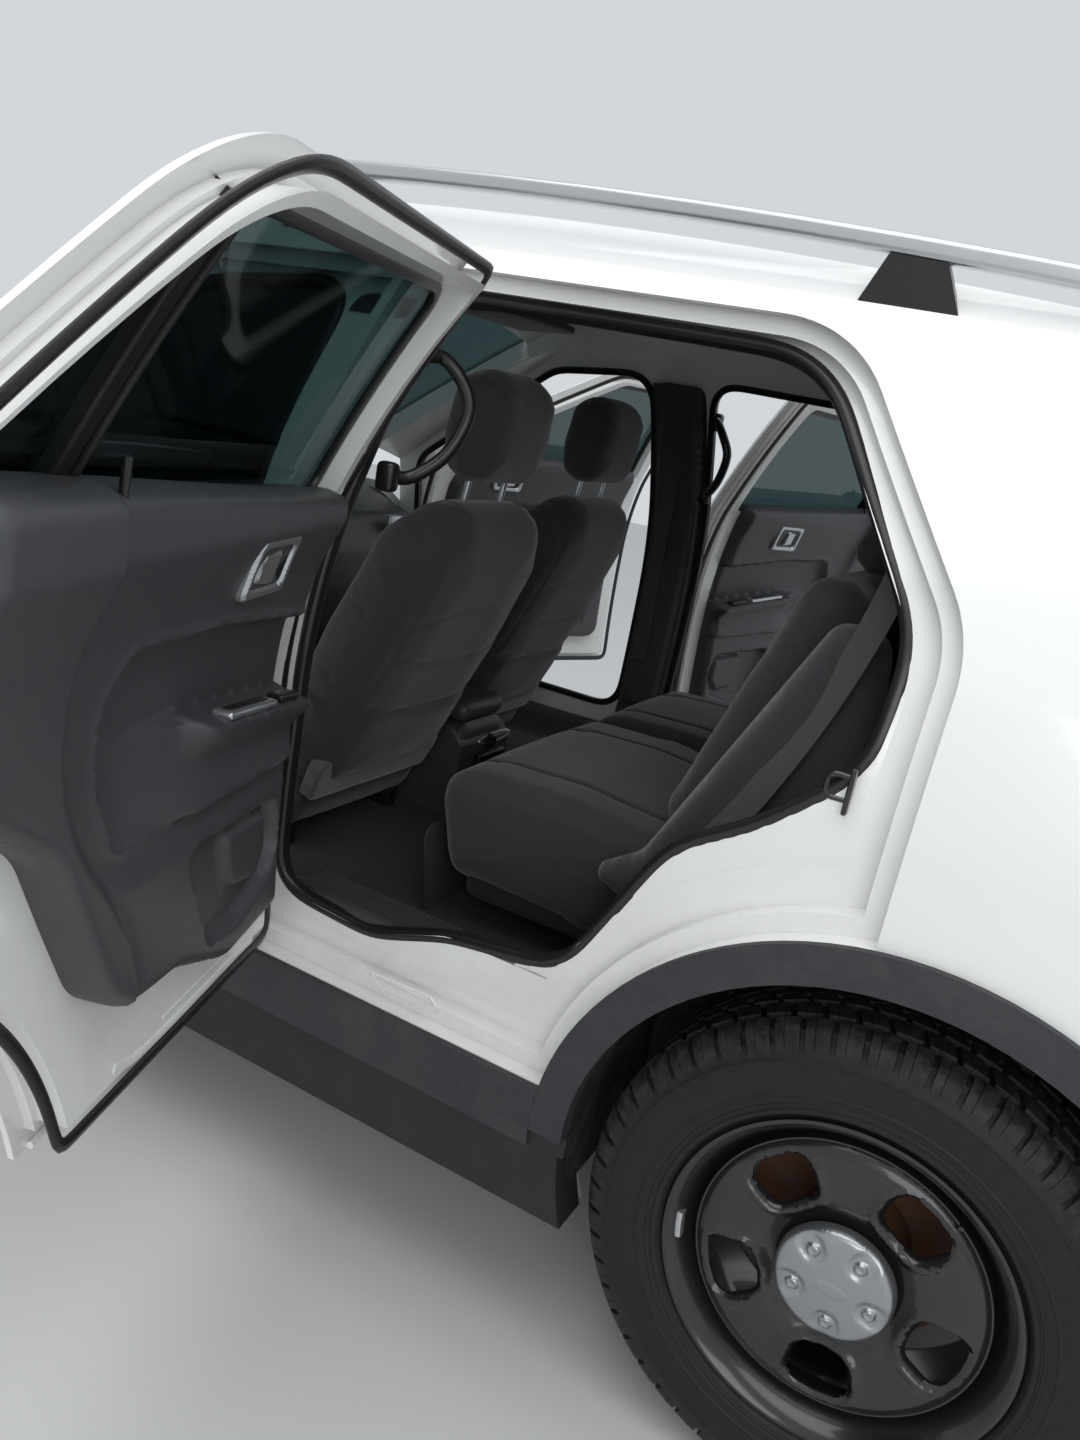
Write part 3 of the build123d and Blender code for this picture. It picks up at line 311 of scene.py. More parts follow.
# %% Slots of the record and their finishes
finishes = {
    "white_paint": dirty_white(),
    "charcoal_trim": grained("charcoal_trim", (0.05, 0.052, 0.056), 0.04, 0.46),
    "black_plastic": plain_gloss("black_plastic", (0.012, 0.012, 0.013), 0.3),
    "tinted_glass": tinted_glass("tinted_glass", (0.2, 0.27, 0.27), 0.12),
    "tyre_rubber": tyre_rubber(),
    "black_steel": plain_gloss("black_steel", (0.012, 0.012, 0.013), 0.22, Coat_Weight=0.4),
    "rusty_iron": rusty("rusty_iron", (0.12, 0.1, 0.09), (0.2, 0.075, 0.03), 0.8),
    "black_cloth": cloth("black_cloth", (0.016, 0.016, 0.018)),
    "seat_fabric": cloth("seat_fabric", (0.035, 0.037, 0.042)),
    "seat_cloth": cloth("seat_cloth", (0.035, 0.036, 0.04)),
    "bench_cloth": cloth("bench_cloth", (0.04, 0.04, 0.043)),
    "carpet_fuzz": cloth("carpet_fuzz", (0.1, 0.098, 0.095), 260.0, 0.6),
    "belt_webbing": cloth("belt_webbing", (0.085, 0.08, 0.075), 1400.0, 0.2),
    "floor_carpet": cloth("floor_carpet", (0.02, 0.02, 0.022), 500.0, 0.1),
    "cast_metal": rusty("cast_metal", (0.3, 0.3, 0.3), (0.16, 0.12, 0.1), 0.1),
    "chassis_steel": rusty("chassis_steel", (0.03, 0.03, 0.03), (0.14, 0.07, 0.04), 0.3),
    "exhaust_steel": rusty("exhaust_steel", (0.3, 0.28, 0.26), (0.17, 0.09, 0.05), 0.4),
    "lamp_lens": tinted_glass("lamp_lens", (0.85, 0.88, 0.9), 0.15),
    "red_lens": plain_gloss("red_lens", (0.35, 0.01, 0.012), 0.12, Coat_Weight=0.8),
    "satin_silver": plain_gloss("satin_silver", (0.55, 0.56, 0.57), 0.32, 0.85),
    "charcoal_cladding": grained("charcoal_cladding", (0.026, 0.028, 0.032), 0.12, 0.6, 700.0),
    "stone_guard": grained("stone_guard", (0.014, 0.0145, 0.016), 0.05, 0.7, 400.0),
    "cap_metal": plain_gloss("cap_metal", (0.36, 0.37, 0.38), 0.3, 0.9),
    "liner_plastic": grained("liner_plastic", (0.014, 0.014, 0.015), 0.4, 0.85, 300.0),
}
for entry in frame["record"]["subparts"]:
    node = nodes[entry["node"]]
    node.data.materials.clear()
    node.data.materials.append(finishes[entry["material_slot"]])


# %% [markdown]
# The panels arrive as triangles. A small Geometry Nodes tree joins them and shades them smooth, and
# keeps the edges that are sharp on the real pressings.

# %% Smooth shading for the panels
def smooth_tree():
    tree = bpy.data.node_groups.new("smooth_panels", "GeometryNodeTree")
    tree.interface.new_socket("Geometry", in_out="INPUT", socket_type="NodeSocketGeometry")
    angle = tree.interface.new_socket("Sharp angle", in_out="INPUT", socket_type="NodeSocketFloat")
    angle.default_value = math.radians(24)
    tree.interface.new_socket("Geometry", in_out="OUTPUT", socket_type="NodeSocketGeometry")
    source = tree.nodes.new("NodeGroupInput")
    sink = tree.nodes.new("NodeGroupOutput")
    merge = tree.nodes.new("GeometryNodeMergeByDistance")
    merge.inputs["Distance"].default_value = 0.00002
    faces = tree.nodes.new("GeometryNodeSetShadeSmooth")
    edges = tree.nodes.new("GeometryNodeSetShadeSmooth")
    edges.domain = "EDGE"
    edges.inputs["Shade Smooth"].default_value = False
    bend = tree.nodes.new("GeometryNodeInputMeshEdgeAngle")
    sharp = tree.nodes.new("FunctionNodeCompare")
    tree.links.new(source.outputs["Geometry"], merge.inputs["Geometry"])
    tree.links.new(merge.outputs["Geometry"], faces.inputs["Geometry"])
    tree.links.new(faces.outputs["Geometry"], edges.inputs["Geometry"])
    tree.links.new(bend.outputs["Unsigned Angle"], sharp.inputs[0])
    tree.links.new(source.outputs["Sharp angle"], sharp.inputs[1])
    tree.links.new(sharp.outputs[0], edges.inputs["Selection"])
    tree.links.new(edges.outputs["Geometry"], sink.inputs["Geometry"])
    return tree


panel_shading = smooth_tree()
for node in nodes.values():
    modifier = node.modifiers.new("smooth panels", "NODES")
    modifier.node_group = panel_shading
print("smooth shading on", len(nodes), "panels")

# %% [markdown]
# Every piece below is made from numbers in millimetres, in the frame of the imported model: x forward,
# y left, z up. A few helpers keep the cells short. A rounded outline, a distance to it, a sweep along
# a path and a lathe are enough for most pressed, moulded and extruded pieces of a vehicle.

# %% Points, outlines and meshes
import numpy as np
from mathutils.geometry import delaunay_2d_cdt


def add_piece(name, shape, finish, body, sharp=32.0, slot=None):
    """A mesh object from points in millimetres, facing outwards and carried by a body."""
    points, faces = shape
    mesh = bpy.data.meshes.new(name)
    mesh.from_pydata((np.asarray(points, float) / 1000.0).tolist(), [], [list(f) for f in faces])
    work = bmesh.new()
    work.from_mesh(mesh)
    bmesh.ops.remove_doubles(work, verts=work.verts, dist=0.00002)
    bmesh.ops.recalc_face_normals(work, faces=work.faces)
    work.to_mesh(mesh)
    work.free()
    mesh.shade_smooth()
    mesh.set_sharp_from_angle(angle=math.radians(sharp))
    mesh.materials.append(finishes[finish])
    obj = bpy.data.objects.new(name, mesh)
    scene.collection.objects.link(obj)
    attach(obj, body)
    return obj


def joined(*shapes):
    """Several (points, faces) shapes as one."""
    points, faces = [], []
    for shape_points, shape_faces in shapes:
        base = len(points)
        points.extend(np.asarray(shape_points, float).tolist())
        faces.extend([[i + base for i in face] for face in shape_faces])
    return np.array(points), faces


def mirrored(shape):
    """The same shape on the right side."""
    points, faces = shape
    return np.asarray(points, float) * (1, -1, 1), [list(f)[::-1] for f in faces]


def turned(shape, axis, centre, degrees):
    """A shape turned about an axis through a centre."""
    points, faces = shape
    turn = np.array(Matrix.Rotation(math.radians(degrees), 3, axis))
    return (np.asarray(points, float) - centre) @ turn.T + centre, faces


def moved(shape, by):
    return np.asarray(shape[0], float) + by, shape[1]


def rounded(corners, step=12.0):
    """A closed outline through (u, v, radius) corners, as points about one step apart."""
    outline = []
    for index, (u, v, radius) in enumerate(corners):
        here = np.array((u, v), float)
        back = np.array(corners[index - 1][:2], float) - here
        ahead = np.array(corners[(index + 1) % len(corners)][:2], float) - here
        back_long, ahead_long = np.linalg.norm(back), np.linalg.norm(ahead)
        back, ahead = back / back_long, ahead / ahead_long
        half = math.acos(float(np.clip(back @ ahead, -1, 1))) / 2
        reach = min(radius / math.tan(half), 0.49 * min(back_long, ahead_long)) if radius else 0
        if reach < 0.5:
            outline.append(here)
            continue
        true_radius = reach * math.tan(half)
        middle = back + ahead
        centre = here + middle / np.linalg.norm(middle) * (true_radius / math.sin(half))
        first = here + back * reach - centre
        last = here + ahead * reach - centre
        start = math.atan2(first[1], first[0])
        sweep = (math.atan2(last[1], last[0]) - start + math.pi) % (2 * math.pi) - math.pi
        count = max(3, int(abs(sweep) * true_radius / step) + 2)
        for part in np.linspace(0, 1, count):
            angle = start + sweep * part
            outline.append(centre + true_radius * np.array((math.cos(angle), math.sin(angle))))
    dense = []
    for index, here in enumerate(outline):
        ahead = outline[(index + 1) % len(outline)]
        count = max(1, int(round(np.linalg.norm(ahead - here) / step)))
        dense.extend(here + (ahead - here) * part / count for part in range(count))
    return np.array(dense)


def ellipse(centre, wide, high, count=32):
    angles = np.linspace(0, 2 * math.pi, count, endpoint=False)
    return np.stack((centre[0] + wide / 2 * np.cos(angles), centre[1] + high / 2 * np.sin(angles)), 1)


def inside(points, outline):
    """How far each point lies inside a closed outline; below zero is outside."""
    points = np.asarray(points, float)
    start, end = outline, np.roll(outline, -1, axis=0)
    best = np.full(len(points), 1e9)
    crossings = np.zeros(len(points), int)
    for (ax, ay), (bx, by) in zip(start, end):
        dx, dy = bx - ax, by - ay
        length = dx * dx + dy * dy
        if length < 1e-12:
            continue
        along = np.clip(((points[:, 0] - ax) * dx + (points[:, 1] - ay) * dy) / length, 0, 1)
        best = np.minimum(best, np.hypot(points[:, 0] - ax - along * dx, points[:, 1] - ay - along * dy))
        if ay != by:
            spans = (ay > points[:, 1]) != (by > points[:, 1])
            crossings += spans & (points[:, 0] < ax + (points[:, 1] - ay) * dx / dy)
    return np.where(crossings % 2 == 1, best, -best)


def rise(value, low, high):
    """A smooth step from 0 at low to 1 at high."""
    part = np.clip((value - low) / (high - low), 0, 1)
    return part * part * (3 - 2 * part)


def crown(depth, radius):
    """A quarter-round edge: 0 at the outline and 1 from one radius inwards."""
    part = 1 - np.clip(depth / radius, 0, 1)
    return np.sqrt(np.clip(1 - part * part, 0, 1))


def sheet_mesh(outline, holes, step):
    """Flat triangles inside an outline and outside its holes."""
    loops = [outline] + list(holes)
    low, high = outline.min(0), outline.max(0)
    rows = np.arange(low[1], high[1] + step, step * 0.87)
    grid = np.array([(u + (step / 2 if index % 2 else 0), v) for index, v in enumerate(rows)
                     for u in np.arange(low[0], high[0] + step, step)])
    keep = inside(grid, outline) > step * 0.55
    for hole in holes:
        keep &= inside(grid, hole) < -step * 0.55
    points = np.concatenate(loops + [grid[keep]])
    edges, base = [], 0
    for loop in loops:
        count = len(loop)
        edges.extend((base + i, base + (i + 1) % count) for i in range(count))
        base += count
    found = delaunay_2d_cdt([Vector(p) for p in points], edges, [], 0, 1e-4)
    flat = np.array([tuple(p) for p in found[0]])
    faces = [list(f) for f in found[2]]
    centres = np.array([flat[f].mean(0) for f in faces])
    good = inside(centres, outline) > 0
    for hole in holes:
        good &= inside(centres, hole) < 0
    faces = [f for f, ok in zip(faces, good) if ok]
    return flat, faces


def relief(outline, holes, step, front, back, place):
    """A closed panel: front and back heights over a flat outline, put in place by a function."""
    flat, faces = sheet_mesh(outline, holes, step)
    depth = inside(flat, outline)
    for hole in holes:
        depth = np.minimum(depth, -inside(flat, hole))
    depth = np.maximum(depth, 0)
    u, v = flat[:, 0], flat[:, 1]
    top = place(u, v, front(u, v, depth))
    low = place(u, v, back(u, v, depth))
    count = len(flat)
    tally = {}
    for face in faces:
        for a, b in zip(face, face[1:] + face[:1]):
            tally[(a, b)] = True
    rim = [(a, b) for a, b in tally if (b, a) not in tally]
    walls = [[b, a, a + count, b + count] for a, b in rim]
    return np.concatenate((top, low)), faces + [[i + count for i in f[::-1]] for f in faces] + walls


def sweep(path, section, ups, closed=False):
    """A section of (side, up) points carried along a path; ups points to the section's top."""
    path = np.asarray(path, float)
    ups = np.broadcast_to(np.asarray(ups, float), path.shape)
    if closed:
        along = np.roll(path, -1, axis=0) - np.roll(path, 1, axis=0)
    else:
        along = np.gradient(path, axis=0)
    along /= np.linalg.norm(along, axis=1, keepdims=True)
    side = np.cross(ups, along)
    side /= np.linalg.norm(side, axis=1, keepdims=True)
    top = np.cross(along, side)
    section = np.asarray(section, float)
    points = (path[:, None, :] + side[:, None, :] * section[None, :, 0, None]
              + top[:, None, :] * section[None, :, 1, None]).reshape(-1, 3)
    size, rows = len(section), len(path)
    faces = []
    for row in range(rows if closed else rows - 1):
        after = (row + 1) % rows
        faces.extend([row * size + i, row * size + (i + 1) % size, after * size + (i + 1) % size,
                      after * size + i] for i in range(size))
    if not closed:
        faces.append(list(range(size))[::-1])
        faces.append([(rows - 1) * size + i for i in range(size)])
    return points, faces


def round_section(radius, flat=1.0, sides=10):
    return ellipse((0, 0), 2 * radius, 2 * radius * flat, sides)


def smooth_path(corners, step=10.0):
    """A curve through 3-D points, as points about one step apart."""
    corners = np.asarray(corners, float)
    padded_corners = np.concatenate((corners[:1] * 2 - corners[1:2], corners, corners[-1:] * 2 - corners[-2:-1]))
    path = []
    for index in range(1, len(corners)):
        a, b, c, d = padded_corners[index - 1:index + 3]
        count = max(2, int(np.linalg.norm(c - b) / step))
        for t in np.linspace(0, 1, count, endpoint=False):
            path.append(0.5 * (2 * b + (c - a) * t + (2 * a - 5 * b + 4 * c - d) * t * t
                               + (3 * b - a - 3 * c + d) * t ** 3))
    path.append(corners[-1])
    return np.array(path)


def lathe(profile, centre, count=96, closed=True):
    """A (radius, y) profile spun about the wheel's axis, which is along y."""
    angles = np.linspace(0, 2 * math.pi, count, endpoint=False)
    profile = np.asarray(profile, float)
    points = [(centre[0] + r * math.cos(a), y, centre[1] + r * math.sin(a)) for a in angles
              for r, y in profile]
    size = len(profile)
    steps = size if closed else size - 1
    faces = [[k * size + i, k * size + (i + 1) % size, ((k + 1) % count) * size + (i + 1) % size,
              ((k + 1) % count) * size + i] for k in range(count) for i in range(steps)]
    return np.array(points), faces


def soft_box(low, high, radius, segments=3):
    """A block with round edges."""
    work = bmesh.new()
    bmesh.ops.create_cube(work, size=1.0)
    low, high = np.asarray(low, float), np.asarray(high, float)
    for vert in work.verts:
        vert.co = Vector(((low + high) / 2 + np.array(vert.co) * (high - low)).tolist())
    bmesh.ops.bevel(work, geom=work.edges[:], offset=radius, segments=segments, affect="EDGES",
                    profile=0.5)
    points = np.array([tuple(v.co) for v in work.verts])
    faces = [[v.index for v in f.verts] for f in work.faces]
    work.free()
    return points, faces


print("a rounded 100 mm square:", len(rounded([(0, 0, 10), (100, 0, 10), (100, 100, 10), (0, 100, 10)])), "points")

# %% [markdown]
# The side of the body is one gentle section swept along a long arc. The same numbers give the place of
# any seal, sill or trim: the distance from the centre line at a height, and how it leans.

# %% The body's side as a function
def arc_points(first, middle, last, count=24):
    """Points of the circle through three points, from the first to the last."""
    a, b, c = (np.array(p, float) for p in (first, middle, last))
    system = 2 * np.array((b - a, c - a))
    centre = np.linalg.solve(system, np.array((b @ b - a @ a, c @ c - a @ a)))
    radius = np.linalg.norm(a - centre)
    angles = [math.atan2(*(p - centre)[::-1]) for p in (a, b, c)]
    total = (angles[2] - angles[0]) % (2 * math.pi)
    if (angles[1] - angles[0]) % (2 * math.pi) > total:
        total -= 2 * math.pi
    path = [centre + radius * np.array((math.cos(angles[0] + total * t), math.sin(angles[0] + total * t)))
            for t in np.linspace(0, 1, count)]
    return np.array(path)


side_section = np.concatenate((arc_points((950, 365), (979, 620), (990, 930)),
                               arc_points((990, 930), (979, 1098), (942, 1245)),
                               arc_points((942, 1245), (848, 1447), (735, 1640))))
crest_x, side_bend = -250.0, 24000.0
rear_arch = np.array((-1318.0, 401.0))


def side_y(x, z, depth=0.0):
    """The distance of the body's side from the centre line."""
    at_crest = np.asarray(z, float) + (np.asarray(x, float) - crest_x) ** 2 / (2 * side_bend)
    return np.interp(at_crest, side_section[:, 1], side_section[:, 0]) - depth


def on_side(outline, depth):
    """Outline points (x, z) on the left side, at a depth under the surface."""
    return np.stack((outline[:, 0], side_y(outline[:, 0], outline[:, 1], depth), outline[:, 1]), 1)


def lean(outline):
    """The direction that points out of the body at each outline point."""
    slope = (side_y(outline[:, 0], outline[:, 1] + 20) - side_y(outline[:, 0], outline[:, 1] - 20)) / 40
    out = np.stack((np.zeros(len(outline)), np.ones(len(outline)), -slope), 1)
    return out / np.linalg.norm(out, axis=1, keepdims=True)


def grown(outline, by):
    """A closed outline moved outwards."""
    along = np.roll(outline, -1, axis=0) - np.roll(outline, 1, axis=0)
    along /= np.maximum(np.linalg.norm(along, axis=1, keepdims=True), 1e-9)
    normal = np.stack((along[:, 1], -along[:, 0]), 1)
    area = (outline[:, 0] * np.roll(outline[:, 1], -1) - np.roll(outline[:, 0], -1) * outline[:, 1]).sum()
    return outline + normal * by * (1 if area > 0 else -1)


def cut_by_arch(outline, radius, step=12.0):
    """An outline kept outside a circle about the rear wheel, with the circle's arc put in."""
    outside = np.hypot(*(outline - rear_arch).T) > radius
    start = [i for i in range(len(outline)) if outside[i] and not outside[i - 1]][0]
    kept = np.roll(outline, -start, axis=0)[np.roll(outside, -start)]
    first = math.atan2(*(kept[-1] - rear_arch)[::-1])
    last = math.atan2(*(kept[0] - rear_arch)[::-1])
    turn = (last - first + math.pi) % (2 * math.pi) - math.pi
    count = max(2, int(abs(turn) * radius / step))
    arc = [rear_arch + radius * np.array((math.cos(first + turn * t), math.sin(first + turn * t)))
           for t in np.linspace(0, 1, count)]
    return np.concatenate((kept[:-1], np.array(arc)[:-1]))


hinge_y = 976.0
hinge_at = {"rear": -201.0, "front": 848.0}
opened = {"rear": 71.0, "front": 68.0}


def door_piece(name, shape, finish, row, sharp=32.0, slot=None):
    """A piece drawn on the shut left door, opened with it, on both sides of the vehicle."""
    swung = turned(shape, "Z", (hinge_at[row], hinge_y, 0), -opened[row])
    return [add_piece(f"{name}_{row}_{side}", swung if side == "left" else mirrored(swung), finish,
                      f"door_{row}_{side}", sharp, slot) for side in ("left", "right")]


def both_sides(name, shape, finish, body="shell", sharp=32.0, slot=None):
    """A piece of the left side and its mirror image, on one body."""
    return add_piece(name, joined(shape, mirrored(shape)), finish, body, sharp, slot)


def tell(*starts):
    """Prints the pieces whose names begin so, with their faces: what a cell made."""
    made = [f"{piece.name} ({len(piece.data.polygons)})" for piece in bpy.data.objects
            if piece.type == "MESH" and piece.name.startswith(starts)]
    print("made, with faces:", ", ".join(made))


print("side surface at mid door:", side_y(np.array([-500.0]), np.array([900.0])))


# %% [markdown]
# A winter tyre has four rows of blocks between three round grooves, and lugs that run over the shoulder.
# The mesh is a grid of angle by profile whose columns lean with the cross grooves, so that each block
# edge falls on a grid line and stays crisp without millions of faces.

# %% Tyres with tread
half_track = 851.0
tyre_centres = {"front_left": (1556.0, 1), "front_right": (1556.0, -1), "rear_left": (-1304.0, 1),
                "rear_right": (-1304.0, -1)}
axle_z = 381.0


def tyre_shape(pitches=54, groove_deep=8.0):
    side_wall = [(229.5, 89.5), (240, 97), (248, 100), (252, 106), (256, 111.5), (262, 113.5), (263.5, 112),
                 (266, 112.4), (267.5, 114), (271, 114.8), (272.5, 113.6), (282, 115.8), (283.5, 117.2),
                 (286, 117.5), (288, 116.4), (300, 118), (315, 118.8), (328, 117.6), (330, 118.6),
                 (333, 118.2), (335, 116.6), (344, 113.5)]
    tread_y = [112, 106, 99, 91, 83, 75.5, 74, 66, 64.5, 50, 35, 31.5, 30, 22, 20.5, 8, 0]
    tread_r = [350, 361, 368.5, 374, 377.3, 379, 379, 379.6, 379.6, 380.4, 380.8, 380.8, 380.8, 380.9,
               380.9, 381, 381]
    columns = ([(r, y, "wall") for r, y in side_wall]
               + [(r, y, "tread") for r, y in zip(tread_r, tread_y)])
    profile = [(r, -y, kind) for r, y, kind in columns] + [(r, y, kind) for r, y, kind in columns[-2::-1]]
    part = np.array((0.0, 0.015, 0.1, 0.185, 0.2, 0.36, 0.49, 0.5, 0.515, 0.68, 0.84))
    cross = np.array((1, 1, 1, 1, 0, 0, 0, 0.35, 0, 0, 0))
    pitch = 2 * math.pi / pitches
    angles = np.array([(k + p) * pitch for k in range(pitches) for p in part])
    cuts = np.tile(cross, pitches)
    cuts[np.isin(np.tile(part, pitches), (0.0, 0.2))] = 0
    points = []
    for r, y, kind in profile:
        row = 0 if abs(y) < 25 else (1 if abs(y) < 69 else 2)
        shift = (0.0, 0.45, 0.2)[row] * pitch + (0.0012, 0.0009, 0.0002)[row] * abs(y) * pitch * 8
        if y < 0:
            shift += 0.5 * pitch
        round_cut = 20.6 < abs(y) < 31 or 64.8 < abs(y) < 75
        fade = 1.0 if kind == "tread" and r > 362 else (0.75 if r > 358 else (0.35 if kind == "tread" else 0.0))
        deep = groove_deep * (1.0 if round_cut else fade * cuts * (0.6 if row == 0 else 1.0))
        radius = r - deep * np.ones(len(angles)) * (1 if kind == "tread" else 0)
        inward = 0.5 * groove_deep * fade * cuts * (1 if kind == "tread" and r < 372 else 0)
        points.append(np.stack((radius * np.cos(angles + shift), np.sign(y) * (abs(y) - inward)
                                * np.ones(len(angles)), radius * np.sin(angles + shift)), 1))
    rows, size = len(profile), len(angles)
    faces = [[a * size + i, a * size + (i + 1) % size, (a + 1) * size + (i + 1) % size, (a + 1) * size + i]
             for a in range(rows - 1) for i in range(size)]
    faces += [[(rows - 1) * size + i, (rows - 1) * size + (i + 1) % size, (i + 1) % size, i]
              for i in range(size)]
    return np.concatenate(points), faces


tyre = tyre_shape()
for corner, (axle_x, side) in tyre_centres.items():
    placed = moved(tyre, (axle_x, half_track, axle_z))
    piece = add_piece(f"treaded_tyre_{corner}", placed if side > 0 else mirrored(placed), "tyre_rubber",
                      f"wheel_{corner}", 28.0)
    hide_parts(f"tyre_{corner}")
print("tyre:", len(tyre[0]), "points", len(tyre[1]), "faces")

# %% [markdown]
# A steel wheel is one pressed disc welded into a rolled barrel. The press turns the edge of each hand
# hole inwards and raises a horseshoe ridge on its hub side. The disc is a relief over a flat outline:
# heights depend on the distance from the centre and on the distance to the nearest hole.

# %% Steel wheels
hole_angles = [math.radians(49 + 72 * n) for n in range(5)]


def hand_hole(angle):
    """A rounded trapezoid, wider away from the hub."""
    corners = [(118, -35, 22), (180, -50, 26), (186, 0, 60), (180, 50, 26), (118, 35, 22), (114, 0, 50)]
    outline = rounded(corners, 5.0)
    turn = np.array(((math.cos(angle), math.sin(angle)), (-math.sin(angle), math.cos(angle))))
    return outline @ turn


def wheel_disc():
    outline = ellipse((0, 0), 2 * 205, 2 * 205, 150)
    holes = [hand_hole(angle) for angle in hole_angles]
    hub = ellipse((0, 0), 140, 140, 60)

    def front(u, v, depth):
        radius = np.hypot(u, v)
        height = np.interp(radius, (70, 84, 98, 112, 128, 170, 186, 197, 206), (70, 71, 76, 83, 87, 90, 89, 84, 74))
        for angle, hole in zip(hole_angles, holes):
            away = -inside(np.stack((u, v), 1), hole)
            inward = rise(178 - (u * math.cos(angle) + v * math.sin(angle)), 0, 34)
            height = height + 5.5 * np.exp(-((away - 11) / 6.0) ** 2) * inward
            height = height - 7.0 * (1 - rise(away, 0, 7))
        return height

    def back(u, v, depth):
        return front(u, v, depth) - 5.0

    def place(u, v, height):
        return np.stack((u, half_track + height, v), 1)

    return relief(outline, [hub] + holes, 5.0, front, back, place)


def hub_cap():
    outline = ellipse((0, 0), 168, 168, 90)

    def front(u, v, depth):
        radius = np.hypot(u, v)
        height = 88 + 12.5 * crown(84 - radius, 12) + 5.0 * (1 - (radius / 84) ** 2)
        for angle in hole_angles:
            away = np.hypot(u - 56 * math.cos(angle), v - 56 * math.sin(angle))
            outer = (u * math.cos(angle) + v * math.sin(angle)) - 56
            height -= 4.0 * (1 - rise(away - 0.35 * np.clip(outer, 0, 40), 12, 22))
            height += 5.5 * (1 - rise(away, 6.5, 11)) - 1.5 * (1 - rise(away, 2, 6))
        oval = np.hypot(u / 22, (v + 2) / 10)
        return height + 0.8 * (1 - rise(oval, 0.86, 1.0))

    def back(u, v, depth):
        return np.full(len(u), 80.0)

    def place(u, v, height):
        return np.stack((u, half_track + height, v), 1)

    return relief(outline, [], 2.6, front, back, place)


barrel_profile = [(246, 109), (241, 109.5), (236, 106), (222, 88), (216, 62), (209, 56), (205, 78), (202, 78),
                  (200, 44), (207, 30), (216, -10), (217, -80), (228, -102), (246, -109), (246, -102),
                  (230, -94), (229, -60), (219, -30), (219, 28), (229, 55), (229, 92), (246, 101)]
brake_profile = [(20, -80), (58, -80), (60, -63), (160, -63), (160, -55), (158, -52), (158, -48), (160, -46),
                 (160, -39), (82, -39), (80, 62), (72, 70), (20, 66)]
disc_shape, cap_shape = wheel_disc(), hub_cap()
barrel = lathe([(r, half_track + y) for r, y in barrel_profile], (0, 0), 120)
brake = lathe([(r, half_track + y) for r, y in brake_profile], (0, 0), 72)
bolts = []
for angle in hole_angles:
    nut = lathe([(0, half_track + 86), (7, half_track + 86), (10, half_track + 83), (10, half_track + 66),
                 (0, half_track + 66)], (57 * math.cos(angle), 57 * math.sin(angle)), 12)
    bolts.append(nut)
valve_root = 206 * np.array((math.cos(2.24), math.sin(2.24)))
valve = lathe([(0, half_track + 88), (3.4, half_track + 87), (3.6, half_track + 72), (6, half_track + 66),
               (6.5, half_track + 48), (0, half_track + 48)], valve_root, 14)
weight_at = math.radians(-6)
weight = sweep([(226 * math.cos(weight_at + t), half_track + 92, 226 * math.sin(weight_at + t))
                for t in np.linspace(-0.09, 0.09, 9)], rounded([(-5, -9, 3), (5, -9, 3), (5, 9, 3), (-5, 9, 3)], 3),
               (0, 1, 0))
for corner, (axle_x, side) in tyre_centres.items():
    body = f"wheel_{corner}"
    for name, shape, finish in (("wheel_disc", joined(disc_shape, barrel, valve), "black_steel"),
                                ("hub_cap", cap_shape, "cap_metal"), ("brake_disc", brake, "rusty_iron"),
                                ("wheel_nuts", joined(*bolts), "chassis_steel"),
                                ("balance_weight", weight, "satin_silver")):
        placed = moved(shape, (axle_x, 0, axle_z))
        piece = add_piece(f"{name}_{corner}", placed if side > 0 else mirrored(placed), finish, body, 40.0,
                          "satin_silver" if finish == "cap_metal" else None)
        if name == "wheel_disc":
            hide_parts(f"rim_{corner}")
print("wheel disc:", len(disc_shape[1]), "faces; cap:", len(cap_shape[1]))

# %% [markdown]
# A door closes on rubber. A hollow bulb is pushed onto the pinched edge of each doorway, and a second,
# flatter seal is clipped round the door itself. Both are one section carried along the outline.

# %% Doorway bulbs and door seals
rear_opening = rounded([(-240, 580, 60), (-262, 1604, 60), (-925, 1592, 190), (-1166, 1255, 140),
                        (-1160, 1085, 100), (-1040, 975, 250), (-930, 905, 130), (-800, 650, 100),
                        (-600, 622, 90), (-450, 565, 90)])
front_opening = rounded([(-75, 580, 60), (800, 580, 90), (800, 1222, 80), (243, 1572, 110), (-70, 1604, 60)])
bulb_section = rounded([(-5, -15, 3), (12, -15, 5), (13, 6, 8), (5, 12, 8), (-8, 9, 7), (-9, -4, 3)], 3.0)


def evened(outline, step=14.0):
    """The same closed outline with points evenly spaced."""
    closed = np.concatenate((outline, outline[:1]))
    along = np.concatenate(((0,), np.cumsum(np.linalg.norm(np.diff(closed, axis=0), axis=1))))
    at = np.linspace(0, along[-1], int(along[-1] / step), endpoint=False)
    return np.stack((np.interp(at, along, closed[:, 0]), np.interp(at, along, closed[:, 1])), 1)


def softened(outline, passes=6):
    """The same closed outline with its corners relaxed."""
    for _ in range(passes):
        outline = (np.roll(outline, 1, axis=0) + 2 * outline + np.roll(outline, -1, axis=0)) / 4
    return outline


def seal(outline, section, depth, out=0.0):
    path = softened(evened(grown(outline, out)))
    area = (path[:, 0] * np.roll(path[:, 1], -1) - np.roll(path[:, 0], -1) * path[:, 1]).sum()
    flip = -1 if area > 0 else 1
    return sweep(on_side(path, depth), np.asarray(section) * (flip, 1), lean(path), closed=True)


